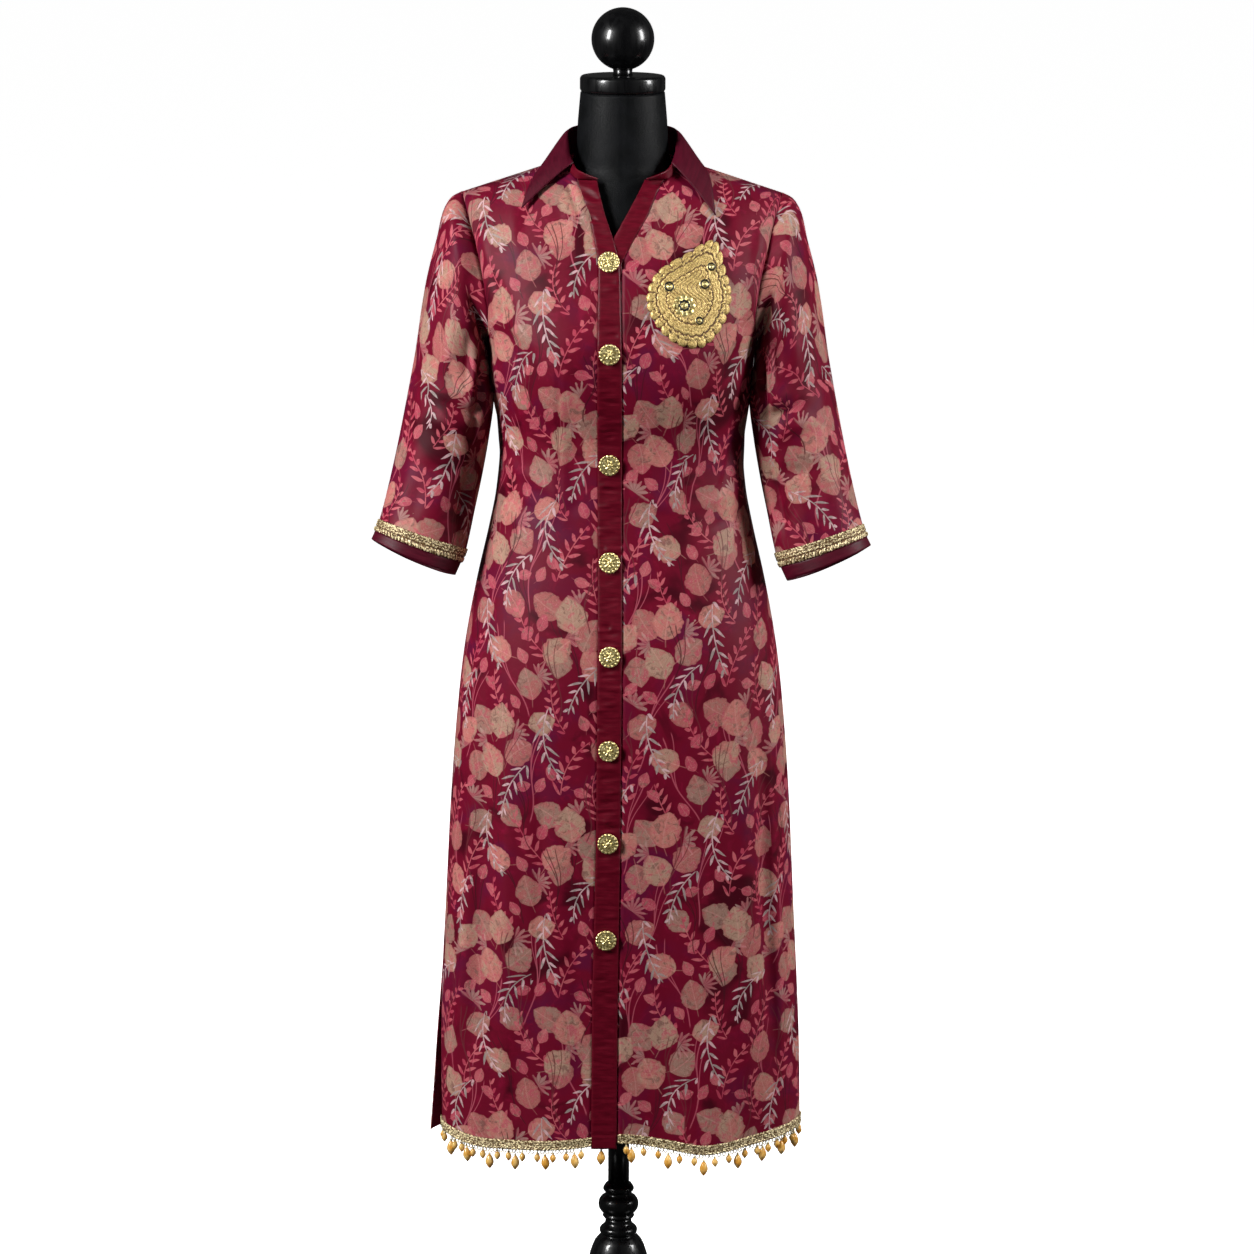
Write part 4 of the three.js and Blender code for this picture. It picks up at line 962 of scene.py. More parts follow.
BACK_CREASES = [
    (-0.150, 1.250, -0.105, 1.130, 0.010, 0.0110, -0.0058, 0.30),
    (0.152, 1.245, 0.110, 1.120, -0.010, 0.0110, -0.0054, 0.35),
    (-0.140, 1.180, -0.118, 1.050, -0.006, 0.0090, 0.0048, 0.45),
    (0.140, 1.170, 0.116, 1.040, 0.006, 0.0090, 0.0044, 0.45),
    (-0.120, 1.060, 0.010, 1.036, 0.006, 0.0100, 0.0041, 0.35),
    (0.126, 1.050, 0.020, 1.022, -0.005, 0.0090, 0.0037, 0.35),
    (-0.100, 1.024, 0.060, 1.010, -0.005, 0.0080, -0.0034, 0.45),
    (-0.060, 1.330, -0.030, 1.150, 0.006, 0.0140, -0.0031, 0.50),
    (0.070, 1.320, 0.044, 1.160, -0.005, 0.0140, -0.0027, 0.50),
    (-0.150, 0.960, -0.172, 0.380, 0.006, 0.0120, -0.0058, 0.60),
    (-0.040, 0.900, -0.030, 0.320, -0.006, 0.0160, 0.0051, 0.80),
    (0.060, 0.860, 0.056, 0.320, 0.005, 0.0150, -0.0048, 0.80),
    (0.150, 0.940, 0.174, 0.360, -0.005, 0.0120, 0.0051, 0.60),
    (0.000, 1.400, 0.004, 1.300, 0.003, 0.0120, -0.0020, 0.30),
]


def dart_share(z):
    """0 at both ends of the dart, 1 at its widest part."""
    return np.where(z > DART["widest"], rise_to(z, DART["top"], DART["widest"] - DART["top"]),
                    rise_to(z, DART["bottom"], DART["widest"] - DART["bottom"]))


def seam_pinch(across):
    return -0.0016 * bell((1 - across) / 0.018)


def armpit_calm(z, across):
    """0 beside the sleeve at the underarm, where both cloths lie smooth, 1 elsewhere."""
    return 1 - np.clip(1.6 * bell((z - 1.180) / 0.075), 0, 1) * bell((1 - across) / 0.09)


def flat_cut(grid, start_u, anchor_column=0):
    """Flat coordinates of a panel: distance across its rows and up its columns."""
    u, v = arc(grid, 1), arc(grid, 0)
    u = u - u[:, [anchor_column]] + start_u
    return np.stack([u, v - v[ANCHOR_ROW] + grid[ANCHOR_ROW, 0, 2]], -1)


def printed_panel(node, grid, uv, outward, closed=False):
    obj = shell(f"{node}_cloth", grid, CLOTH, [PRINT, REVERSE_PAINTED_LIGHT], uv, outward, closed)
    lay_motifs(obj)
    return piece(obj, node, "printed_cloth")


def front_lift(x, z, across):
    """How far the cloth of a front rises off the smooth body: its creases, dart and seam."""
    calm = armpit_calm(z, across)
    beside = np.abs(x) - DART["x"]
    tuck = 0.0010 * bell(beside / 0.012) - 0.0012 * bell(beside / 0.0022)
    lift = (crease_lift(x, z, FRONT_CREASES) + seam_pinch(across)) * calm
    return (lift + tuck * np.minimum(1, dart_share(z) * 4)) * rise_to(across, 0, 0.03)


def front_surface(side, rows, across):
    x0 = front_inner_x(side, rows) - side * (0.002 if side < 0 else 0.0003)
    point, normal = panel(x0, side, "front", rows, across)
    lift = front_lift(point[..., 0], point[..., 2], across)
    return point + normal * lift[..., None], normal, x0


def front_panel(side, name):
    grid, normal, x0 = front_surface(side, FINE_ROWS, np.linspace(0, 1, FRONT_COLUMNS)[None, :])
    uv = flat_cut(grid, np.abs(x0))
    taken = dart_share(grid[..., 2]) / (1 + np.exp((DART["x"] - np.abs(grid[..., 0])) / 0.0006))
    uv[..., 0] = side * (uv[..., 0] + DART["deep"] * taken)
    return printed_panel(f"front_{name}", grid, uv, normal)


def back_panel():
    half = np.linspace(0, 1, BACK_COLUMNS)[None, :]
    zero = np.zeros_like(FINE_ROWS)
    right, left = (panel(zero, side, "back", FINE_ROWS, half) for side in (-1, 1))
    point, normal = (np.concatenate([b[:, ::-1], a[:, 1:]], 1) for a, b in zip(right, left))
    across = np.concatenate([half[:, ::-1], half[:, 1:]], 1)
    lift = crease_lift(point[..., 0], point[..., 2], BACK_CREASES) + seam_pinch(across)
    grid = point + normal * (lift * armpit_calm(point[..., 2], across))[..., None]
    return printed_panel("back", grid, flat_cut(grid, BACK_START_U, BACK_COLUMNS - 1), normal)


SIDES = {"right": -1, "left": 1}
fronts = {name: front_panel(side, name) for name, side in SIDES.items()}
back = back_panel()

# ------------------------------------------------------------------ button bands

BAND_LOW_ROWS = 560
BAND_HIGH_ROWS = 112
LAP = {"top": 1.333, "ramp": 0.020, "lift": 0.0017}
# x1, z1, x2, z2, bow, width, rise, peak
HEM_STITCH = [(-0.030, 0.3215, 0.030, 0.3220, 0, 0.0012, -0.0009, 0.50)]
NECK_GATHERS = [
    (-0.014, 1.386, 0.012, 1.377, 0.0020, 0.0036, 0.0010, 0.50),
    (-0.012, 1.379, 0.013, 1.369, 0.0016, 0.0030, -0.0012, 0.45),
    (-0.013, 1.371, 0.008, 1.363, 0.0012, 0.0028, 0.0008, 0.40),
]


def band_puckers(seed, low, high, pitch, size):
    """Short uneven creases across a band, as the stitching draws it up."""
    random = np.random.default_rng(seed)
    rows = []
    z = low
    while z < high:
        z += pitch * random.uniform(0.45, 1.6)
        start = random.uniform(-0.019, -0.006)
        depth = size * np.clip((z - 0.10) / 0.8, 0.3, 1)
        rows.append((start, z, start + random.uniform(0.014, 0.032),
                     z + random.uniform(-0.004, 0.004), random.uniform(-0.0012, 0.0012),
                     random.uniform(0.0017, 0.0036), depth * random.uniform(-1.0, 0.8),
                     random.uniform(0.15, 0.85)))
    return rows


def band_panel(side, name, lap_lift, puckers):
    """A band of satin from the hem to the neckline, with the small puckers of its stitching."""
    rows = np.concatenate([np.linspace(-1, 0, BAND_LOW_ROWS),
                           np.linspace(0, NECK_ROW, BAND_HIGH_ROWS)[1:]])[:, None]
    seam_x = front_inner_x(side, rows)
    z = row_z(seam_x, rows, "front")
    if side < 0:
        z = z - 0.003 * rise_to(rows, -0.985, -0.015)
    start = seam_x - side * SEAM
    edge = BANDS.straight("z", f"{name}_edge", z)
    across = np.linspace(0, 1, 15)[None, :]
    x = start + (edge - start) * across
    point, normal = cloth_point(x, np.broadcast_to(z, x.shape), "front")
    flat = np.stack([(edge - start) * (across - 0.5), point[..., 2]], -1)
    lift = lap_lift * rise_to(point[..., 2], LAP["top"] + LAP["ramp"], -LAP["ramp"])
    lift = lift + crease_lift(flat[..., 0], flat[..., 1], puckers)
    lift = lift - 0.0006 * bell(np.minimum(across, 1 - across) / 0.05)
    obj = shell(f"placket_{name}_satin", point + normal * lift[..., None], CLOTH,
                [SATIN, REVERSE_PAINTED_LIGHT], flat, normal)
    return piece(obj, f"placket_{name}", "satin")


placket_over = band_panel(-1, "over", LAP["lift"],
                          band_puckers(11, 0.33, 1.385, 0.0062, 0.0020) + NECK_GATHERS + HEM_STITCH)
placket_under = band_panel(1, "under", 0.0,
                           band_puckers(13, 1.25, 1.385, 0.0065, 0.0016) + NECK_GATHERS)

# ------------------------------------------------------------------ sleeves and cuffs

SLEEVE_AROUND = 96
SLEEVE_STEP = 0.0045
SLEEVE_START = (0.04, 1.36)
CREASE_TURN = 0.30
CUFF_TURN = 0.27
CUFF_ROWS = 7
CUFF_WALL = 0.0016
CUFF_GAP = 0.0002

# angle round the sleeve as a share of a turn (0 outer, 0.25 front, 0.5 inner, 0.75 back)
# times 0.30, and distance down the sleeve
SLEEVE_CREASES = [
    # folds that fall from the front of the armhole
    (0.102, 0.040, 0.088, 0.140, 0.004, 0.0085, -0.0068, 0.65),
    (0.112, 0.060, 0.098, 0.175, 0.005, 0.0060, 0.0048, 0.55),
    (0.124, 0.050, 0.110, 0.225, 0.006, 0.0080, -0.0085, 0.35),
    (0.076, 0.060, 0.066, 0.150, 0.003, 0.0090, 0.0034, 0.60),
    # pressed together above the elbow
    (0.118, 0.158, 0.060, 0.170, -0.007, 0.0055, -0.0058, 0.50),
    (0.110, 0.146, 0.074, 0.148, -0.005, 0.0090, 0.0044, 0.50),
    (0.052, 0.158, 0.004, 0.166, 0.003, 0.0045, -0.0046, 0.60),
    (0.104, 0.205, 0.050, 0.196, 0.010, 0.0110, 0.0048, 0.50),
    (0.112, 0.232, 0.052, 0.240, -0.008, 0.0080, -0.0040, 0.40),
    # long soft folds to the cuff
    (0.122, 0.190, 0.114, 0.350, 0.003, 0.0090, -0.0080, 0.45),
    (0.088, 0.225, 0.084, 0.355, 0.004, 0.0110, 0.0030, 0.60),
    (0.060, 0.240, 0.056, 0.355, -0.004, 0.0100, -0.0026, 0.65),
    (0.004, 0.040, 0.014, 0.150, 0.004, 0.0100, 0.0020, 0.40),
    (0.024, 0.120, 0.032, 0.320, -0.003, 0.0120, -0.0026, 0.50),
    # the same at the back
    (0.170, 0.060, 0.226, 0.160, -0.006, 0.0090, -0.0060, 0.35),
    (0.192, 0.080, 0.262, 0.190, -0.008, 0.0090, 0.0044, 0.35),
    (0.166, 0.150, 0.240, 0.225, -0.006, 0.0090, -0.0054, 0.40),
    (0.180, 0.196, 0.270, 0.246, -0.006, 0.0100, 0.0040, 0.40),
    (0.198, 0.236, 0.262, 0.262, 0.004, 0.0080, -0.0040, 0.40),
    (0.214, 0.250, 0.220, 0.355, 0.004, 0.0110, -0.0040, 0.60),
    (0.262, 0.230, 0.258, 0.350, 0.004, 0.0120, 0.0026, 0.60),
    (0.284, 0.030, 0.276, 0.150, 0.004, 0.0100, -0.0020, 0.40),
]


def armhole_ring(side, phi):
    rise = (1 + np.cos(phi)) / 2
    ring = np.zeros((len(phi), 3))
    for face, chosen in (("front", np.sin(phi) >= 0), ("back", np.sin(phi) < 0)):
        x = side * ARMHOLE.smooth("rise", face, rise)
        ring[chosen] = cloth_point(x, row_z(x, rise, face), face)[0][chosen]
    ring[(rise < 1e-6) | (rise > 1 - 1e-6), 1] = 0
    ring[:, 0] += side * ARMHOLE_STEP
    return ring


def sleeve_ring(side, k, phi):
    row = SLEEVE.row(k)
    drop = side * CUFF_DROP * rise_to(k, CUFF_DROP_ROW, len(SLEEVE) - 1 - CUFF_DROP_ROW)
    out, inn = (np.array([side * row[f"{end}_x"], row[f"{end}_y"], row[f"{end}_z"] - drop])
                for end in ("out", "in"))
    nod = math.radians(row["nod"])
    forward = np.array([0, -math.cos(nod), math.sin(nod)]) * row["depth"]
    c, s = (np.sign(wave) * np.abs(wave) ** (2 / SLEEVE_SQUARE)
            for wave in (np.cos(phi), np.sin(phi)))
    ring = (out + inn) / 2 + c[:, None] * (out - inn) / 2 + s[:, None] * forward
    ring[:, 2] -= row["sag"] * s * s
    return ring


def ring_out(grid):
    """The way a tube's cloth faces, away from its middle."""
    normal = grid_normals(grid, True)
    middle = grid.mean(1, keepdims=True)
    return normal if np.sum(normal * (grid - middle)) > 0 else -normal


def sleeve_lift(down, turn, trim):
    """Creases that fade at the armhole, under the arm and at the trim, and a small cap puff."""
    around, along = np.meshgrid(turn * CREASE_TURN, down)
    lift = crease_lift(around, along, SLEEVE_CREASES)
    lift = lift * (rise_to(down, 0, 0.02) * rise_to(down, trim, -0.03))[:, None]
    lift *= 1 - bell(down / 0.12)[:, None] * bell((turn - 0.5) / 0.07)
    cap = 0.5 + 0.5 * np.cos(turn * 2 * math.pi)
    return lift + 0.0010 * bell((down - 0.014) / 0.012)[:, None] * cap


def tube_cut(grid, down, side):
    """Flat coordinates of a sleeve, with the seam of the print under the arm."""
    around = np.linalg.norm(np.roll(grid, -1, 1) - grid, axis=-1)
    u = np.cumsum(around, 1) - around
    behind = np.arange(SLEEVE_AROUND) > SLEEVE_AROUND // 2
    u = u - u[:, [SLEEVE_AROUND // 2]] - around.sum(1, keepdims=True) * behind
    start_u, start_v = SLEEVE_START
    return np.stack([u * side + start_u, np.broadcast_to(start_v - down[:, None], u.shape)], -1)


def make_sleeve(side, name):
    """The sleeve and its cuff, and the band of cloth between them that the braid covers."""
    phi = np.linspace(0, 2 * math.pi, SLEEVE_AROUND, endpoint=False)
    turn = phi / (2 * math.pi)
    rings = np.array([armhole_ring(side, phi)]
                     + [sleeve_ring(side, k, phi) for k in range(len(SLEEVE))])
    walk = arc(rings).mean(1)
    trim, seam = walk[TRIM_ROW + 1], walk[CUFF_ROW + 1]

    def section(low, high, count):
        down = np.linspace(low, high, count)
        i, t = interval(walk, down)
        return hermite(walk[:, None, None], rings, i, t[:, None, None]), down

    grid, down = section(0, seam - CUFF_GAP, int(seam / SLEEVE_STEP))
    outward = ring_out(grid)
    grid = grid + outward * sleeve_lift(down, turn, trim)[..., None]
    sleeve = printed_panel(f"sleeve_{name}", grid, tube_cut(grid, down, side), outward, True)

    grid, down = section(seam + CUFF_GAP, walk[-1], CUFF_ROWS)
    outward = ring_out(grid)
    wave = 0.0004 * np.sin(phi * 7 + 1.3 * side) * np.linspace(0, 1, CUFF_ROWS)[:, None]
    uv = np.stack(np.meshgrid(turn * CUFF_TURN, -down), -1)
    cuff = shell(f"cuff_{name}_satin", grid + outward * wave[..., None], CUFF_WALL,
                 [SATIN_DARK], uv, outward, True)
    braided, _ = section(trim, seam, 5)
    return sleeve, piece(cuff, f"cuff_{name}", "satin"), braided[::-1]


sleeves, cuffs, braided = {}, {}, {}
for name, side in SIDES.items():
    sleeves[name], cuffs[name], braided[name] = make_sleeve(side, name)

# ------------------------------------------------------------------ collar

COLLAR_LIFT = 0.001
COLLAR_FINE = 7
STAND_WALL = 0.0013
FALL_WALL = 0.0018
FALL_BOW = 0.0012
ROLL_IN = 0.0022


def collar_lines():
    """The foot, the roll line and the free edge, each as points from right to left."""
    points = []
    for side in (-1, 1):
        for i in range(len(COLLAR)):
            row = COLLAR.row(i)
            neck_x = row["neck_x"]
            z = top_z(neck_x, "back") if row["back"] else FRONT_NECKLINE.straight("x", "z", neck_x)
            point, normal = cloth_point(side * neck_x, z, "back" if row["back"] else "front")
            share = max(0, 1 - abs(FALL_END - i) / LEFT_POINT_ROWS) if side > 0 else 0
            roll, edge = (np.array([side * row[f"{line}_x"], row[f"{line}_y"], row[f"{line}_z"]])
                          for line in ("roll", "edge"))
            points.append([point + normal * COLLAR_LIFT, roll, edge + LEFT_POINT * share])
    last = len(COLLAR) - 1
    order = list(range(last, -1, -1)) + list(range(last + 2, 2 * last + 2))
    return np.array(points)[order].transpose(1, 0, 2)


def refine(line):
    """A smooth finer line through the points."""
    key = np.arange(len(line), dtype=float)
    at = np.linspace(0, len(line) - 1, (len(line) - 1) * COLLAR_FINE + 1)
    i, t = interval(key, at)
    return hermite(key[:, None], line, i, t[:, None])


def make_stand(feet, rolls):
    t = np.linspace(0, 1, 9)[:, None, None]
    grid = refine(feet) * (1 - t) + refine(rolls) * t
    outward = grid * (0, 1, 0)
    uv = np.stack([arc(grid, 1), arc(grid, 0)], -1)
    obj = shell("collar_stand_satin", grid, STAND_WALL, [SATIN, SATIN_DARK], uv, outward)
    return piece(obj, "collar_stand", "satin")


def make_fall(rolls, edges):
    """The turned-down collar, a little bowed, with its roll drawn in to the stand."""
    roll, edge = refine(rolls), refine(edges)
    out = unit((edge - roll) * (1, 1, 0))
    t = np.linspace(0, 1, 15)[:, None, None]
    bow = FALL_BOW * np.sin(math.pi * t)
    grid = roll * (1 - t) + edge * t + out * (bow + CLOTH - ROLL_IN * bell(t / 0.06))
    grid[..., 2] += (bow * 0.5 + CLOTH * (1 - t))[..., 0]
    uv = np.stack([arc(grid, 1), arc(grid, 0)], -1)
    obj = shell("collar_satin_fall", grid, FALL_WALL, [SATIN_DARK], uv, (0, 0, 1))
    return piece(obj, "collar", "satin")


feet, rolls, edges = collar_lines()
collar_stand = make_stand(feet, rolls)
unfolded = len(COLLAR) - 1 - FALL_END
collar = make_fall(rolls[unfolded:-unfolded], edges[unfolded:-unfolded])

# ------------------------------------------------------------------ turned pieces


def ring_solid(name, rings, material, node, slot):
    """A closed solid of level rings, with a fan of faces over each end."""
    levels, sides = rings.shape[:2]
    points = rings.reshape(-1, 3).tolist()
    low, high = len(points), len(points) + 1
    points += [(0, 0, rings[0, 0, 2]), (0, 0, rings[-1, 0, 2])]
    faces = grid_faces(levels, sides, True).tolist()
    last = (levels - 1) * sides
    for j in range(sides):
        k = (j + 1) % sides
        faces += [(low, k, j), (high, last + j, last + k)]
    return piece(build(name, points, faces, [material]), node, slot)


def turned_rings(profile, sides):
    """Level rings from (radius, height) pairs."""
    angle = np.linspace(0, 2 * math.pi, sides, endpoint=False)
    return np.array([np.stack([r * np.cos(angle), r * np.sin(angle), np.full(sides, float(z))], -1)
                     for r, z in profile])


def lathe(node, profile, sides, slot="black_lacquer"):
    ring_solid(f"{node}_turned", turned_rings(profile, sides), LACQUER, node, slot)


def soften(profile, radius):
    """Replaces each corner of a profile by a short round."""
    points = [np.array(p, float) for p in profile]
    out = [points[0]]
    for a, b, c in zip(points, points[1:], points[2:]):
        before, after = np.linalg.norm(a - b), np.linalg.norm(c - b)
        cut = min(radius, before * 0.4, after * 0.4)
        p, q = b + (a - b) / before * cut, b + (c - b) / after * cut
        out += [(1 - t) ** 2 * p + 2 * t * (1 - t) * b + t * t * q for t in (0, 0.5, 1)]
    return out + [points[-1]]


FORM_TOP_Z = 1.482
FORM_BOTTOM_Z = 0.705
REST_GAP = 0.0003
CAP = {"r": 0.047, "low": FORM_TOP_Z + REST_GAP, "top": 1.5006, "edge": 0.0025, "hole": 0.020}
STEM = {"r": 0.011, "neck": 0.0104, "neck_z": 1.5035, "top": 1.507}
BALL = {"r": 0.0345, "z": 1.540}
POLE = {"r": 0.0121, "bottom": 0.2363}
BASE = {"r": 0.210, "top": 0.026, "hub": 0.040}
COLUMN_TOP_Z = 0.1957
KNOB_TOP_Z = 0.236

lathe("neck_cap", soften([
    (CAP["r"] - CAP["edge"], CAP["low"]), (CAP["r"], CAP["low"] + CAP["edge"]),
    (CAP["r"], CAP["top"] - CAP["edge"]), (CAP["r"] - CAP["edge"], CAP["top"]),
    (CAP["hole"], CAP["top"]),
], 0.0015), 72)
lathe("finial_stem", [(STEM["r"], CAP["top"]), (STEM["neck"], STEM["neck_z"]),
                      (STEM["r"], STEM["top"] + 0.002)], 40)
ball_flat = math.acos((STEM["top"] + REST_GAP - BALL["z"]) / BALL["r"])
lathe("finial_ball", [(BALL["r"] * math.sin(a), BALL["z"] + BALL["r"] * math.cos(a))
                      for a in np.linspace(ball_flat, 0.02, 40)], 72)
lathe("pole", [(POLE["r"], z) for z in (POLE["bottom"], 0.30, 0.50, FORM_BOTTOM_Z + 0.004)],
      48, "black_tube")
lathe("knob", soften([
    (0.0170, 0.1960), (0.0185, 0.1980), (0.0160, 0.2010), (0.0190, 0.2025), (0.0215, 0.2055),
    (0.0228, 0.2090), (0.0230, 0.2130), (0.0220, 0.2170), (0.0195, 0.2205), (0.0160, 0.2225),
    (0.0145, 0.2260), (0.0172, 0.2280), (0.0178, 0.2300), (0.0172, 0.2320), (0.0145, KNOB_TOP_Z),
], 0.0012), 56)
lathe("column", soften([
    (0.0300, BASE["hub"]), (0.0300, 0.0520), (0.0210, 0.0560), (0.0180, 0.0640),
    (0.0160, 0.0720), (0.0205, 0.0755), (0.0210, 0.0785), (0.0180, 0.0840), (0.0215, 0.0935),
    (0.0260, 0.1040), (0.0312, 0.1180), (0.0340, 0.1320), (0.0345, 0.1420), (0.0330, 0.1520),
    (0.0300, 0.1610), (0.0270, 0.1680), (0.0225, 0.1735), (0.0190, 0.1760), (0.0212, 0.1780),
    (0.0218, 0.1810), (0.0208, 0.1840), (0.0170, 0.1870), (0.0150, 0.1900),
    (0.0150, COLUMN_TOP_Z),
], 0.0015), 64)
lathe("base", soften([
    (BASE["r"] - 0.004, 0), (BASE["r"], 0.004), (BASE["r"], BASE["top"] - 0.008),
    (BASE["r"] - 0.007, BASE["top"] - 0.001), (0.060, BASE["top"] + 0.002),
    (0.044, BASE["top"] + 0.005), (0.040, BASE["hub"]), (0.012, BASE["hub"]),
], 0.003), 120)

# ------------------------------------------------------------------ dress form

FORM_SIDES = 120
FORM_SEAM_Z = 1.392
FORM_REACH = 0.26


def form_radius(angle, z):
    """The form's radius at each angle: the body's surface less an inset, or the neck's."""
    near, far = np.zeros_like(angle), np.full_like(angle, FORM_REACH)
    height = np.full_like(angle, z)
    for _ in range(40):
        r = (near + far) / 2
        x, y = r * np.sin(angle), np.abs(r * np.cos(angle))
        front, back_side = (body_depth(x, height, face, FORM_SHOULDER_DROP)
                            for face in ("front", "back"))
        inside = y < np.where(np.cos(angle) >= 0, front, back_side)
        near, far = np.where(inside, r, near), np.where(inside, far, r)
    neck = FORM_NECK.straight("z", "radius", z)
    inset = FORM_RINGS.smooth("z", "inset", z)
    return (np.maximum(0.001, near - inset) ** 8 + neck ** 8) ** (1 / 8)


def make_form():
    """The covered form, with a seam down its front and back and a stitched line by the neck."""
    heights = np.concatenate([np.linspace(FORM_BOTTOM_Z, 0.724, 7), np.linspace(0.735, 1.30, 60),
                              np.linspace(1.305, FORM_TOP_Z, 56)])
    angle = np.linspace(0, 2 * math.pi, FORM_SIDES, endpoint=False)
    radial = np.stack([np.sin(angle), -np.cos(angle), np.zeros_like(angle)], -1)
    rings = []
    for z in heights:
        groove = 0.0006 * bell(np.sin(angle) / 0.02) + 0.0005 * bell((z - FORM_SEAM_Z) / 0.0016)
        rings.append(radial * (form_radius(angle, z) - groove)[:, None] + (0, 0, z))
    ring_solid("form_torso_covered", np.array(rings), COVER, "form_torso", "form_cover")


make_form()

# ------------------------------------------------------------------ braids

BRAID_STEP = 0.00045
BRAID_LIFT = {"hem": 0.0003, "cuff": 0.0004}
TAPE_RISE = 0.0003
COIL_LOW = 0.00078
EDGE_LOOP = {"pitch": 0.0034, "reach": 0.0008}
# middle and half width as shares of the braid, the coils' length, their rise and slant
HEM_COILS = [
    (0.15, 0.16, 0.0046, 0.0018, 0.7), (0.40, 0.13, 0.0040, 0.0014, -1.0),
    (0.63, 0.13, 0.0042, 0.0014, 1.0), (0.87, 0.14, 0.0044, 0.0017, -0.7),
]
CUFF_COILS = [
    (0.19, 0.19, 0.0042, 0.0018, 0.4), (0.55, 0.13, 0.0036, 0.0013, 1.0),
    (0.77, 0.12, 0.0036, 0.0013, -1.0), (0.93, 0.09, 0.0032, 0.0013, 1.0),
]


def coil_relief(share, v, length, rows):
    """How high the braid's rows of slanted coils stand, along it (share) and across it (v)."""
    relief = np.zeros(np.broadcast_shapes(share.shape, v.shape))
    for middle, half, coil, rise, slant in rows:
        turn = share * max(1, round(length / coil)) + slant * (v - middle) / half
        uneven = 0.82 + 0.18 * np.sin(np.floor(turn) * 2.4 + middle * 9)
        ridge = uneven * wavy(turn, 0.8)
        round_off = np.sqrt(np.maximum(0, 1 - ((v - middle) / half) ** 2))
        relief = np.maximum(relief, rise * ridge * round_off)
    return relief


def braid(kind, side_name, grid, normal, columns, rows, closed=False):
    """A gold braid on its tape, as one closed loop round its section at each column."""
    if closed:
        grid, normal = (np.concatenate([lines, lines[:, :1]], 1) for lines in (grid, normal))
    height, walk = arc(grid, 0)[-1, :grid.shape[1] - closed].mean(), arc(grid, 1)[0]
    share = np.arange(columns) / columns if closed else np.linspace(0, 1, columns)
    length = walk[-1]
    steps = int(round(height / BRAID_STEP))
    v = np.linspace(0, 1, steps)[:, None]

    def spread(values):
        along = np.array([[np.interp(share * length, walk, row[:, a]) for a in range(3)]
                          for row in values]).transpose(0, 2, 1)
        i, t = interval(np.linspace(0, 1, len(grid)), v[:, 0])
        return along[i] + (along[i + 1] - along[i]) * t[:, None, None]

    point, out = spread(grid), spread(normal)
    relief = coil_relief(share, v, length, rows)
    edge = np.minimum(v, 1 - v) * height
    standing = TAPE_RISE + relief * (0.35 + 0.65 * rise_to(edge, 0, 0.0004))
    loops = wavy(share * round(length / EDGE_LOOP["pitch"]))
    aside = EDGE_LOOP["reach"] * loops * (2 * v - 1) * bell(edge / 0.0012)
    top = (point + out * (BRAID_LIFT[kind] + standing)[..., None]
           + (point[-1] - point[0]) / height * aside[..., None])
    tape = (point + out * BRAID_LIFT[kind])[[-1, steps // 2, 0]]
    loop = np.concatenate([top, tape]).transpose(1, 0, 2)
    # faces low between the coils, and the tape, get the darker gold as painted shade
    low = np.concatenate([relief < COIL_LOW, np.ones((3, columns), bool)]).T.reshape(-1)
    around = loop.shape[1]
    flip = bool(np.sum(grid_normals(top, closed) * out) > 0)
    faces = grid_faces(columns + closed, around, True, 0, flip) % (columns * around)
    shade = low[faces].all(1).astype(int).tolist()
    faces = faces.tolist()
    if not closed:
        first, last = range(around), range((columns - 1) * around, columns * around)
        faces += [list(first if flip else first[::-1]), list(last[::-1] if flip else last)]
        shade += [1, 1]
    node = f"{kind}_braid_{side_name}"
    obj = build(f"{node}_coils", loop.reshape(-1, 3), faces, [GOLD_THREAD, GOLD_PAINTED_SHADE], shade)
    return piece(obj, node, "gold_braid")


hem_top_row = -1 + BRAID_HEIGHT / (UNDERARM_Z - HEM_Z)
hem_rows = np.linspace(-1, hem_top_row, 6)[:, None]
hem_braids, cuff_braids, hem_lines = {}, {}, {}
for name, side in SIDES.items():
    grid, normal, _ = front_surface(side, hem_rows, np.linspace(0.004, 1, 160)[None, :])
    hem_lines[name] = grid[0], normal[0]
    hem_braids[name] = braid("hem", name, grid, normal, 820, HEM_COILS)
for name, grid in braided.items():
    cuff_braids[name] = braid("cuff", name, grid, ring_out(grid), 760, CUFF_COILS, True)

# ------------------------------------------------------------------ bead fringe

# x of the long drops; short beads and loops of thread hang between them
DROPS = {"right": [-0.050, -0.083, -0.116, -0.146, -0.172, -0.190],
         "left": [0.0145, 0.056, 0.096, 0.134, 0.163, 0.184, 0.199]}
# one more drop, behind the over band's foot
BEHIND_BAND = {"right": [-0.019], "left": []}
FRINGE_SEED = {"right": 31, "left": 32}
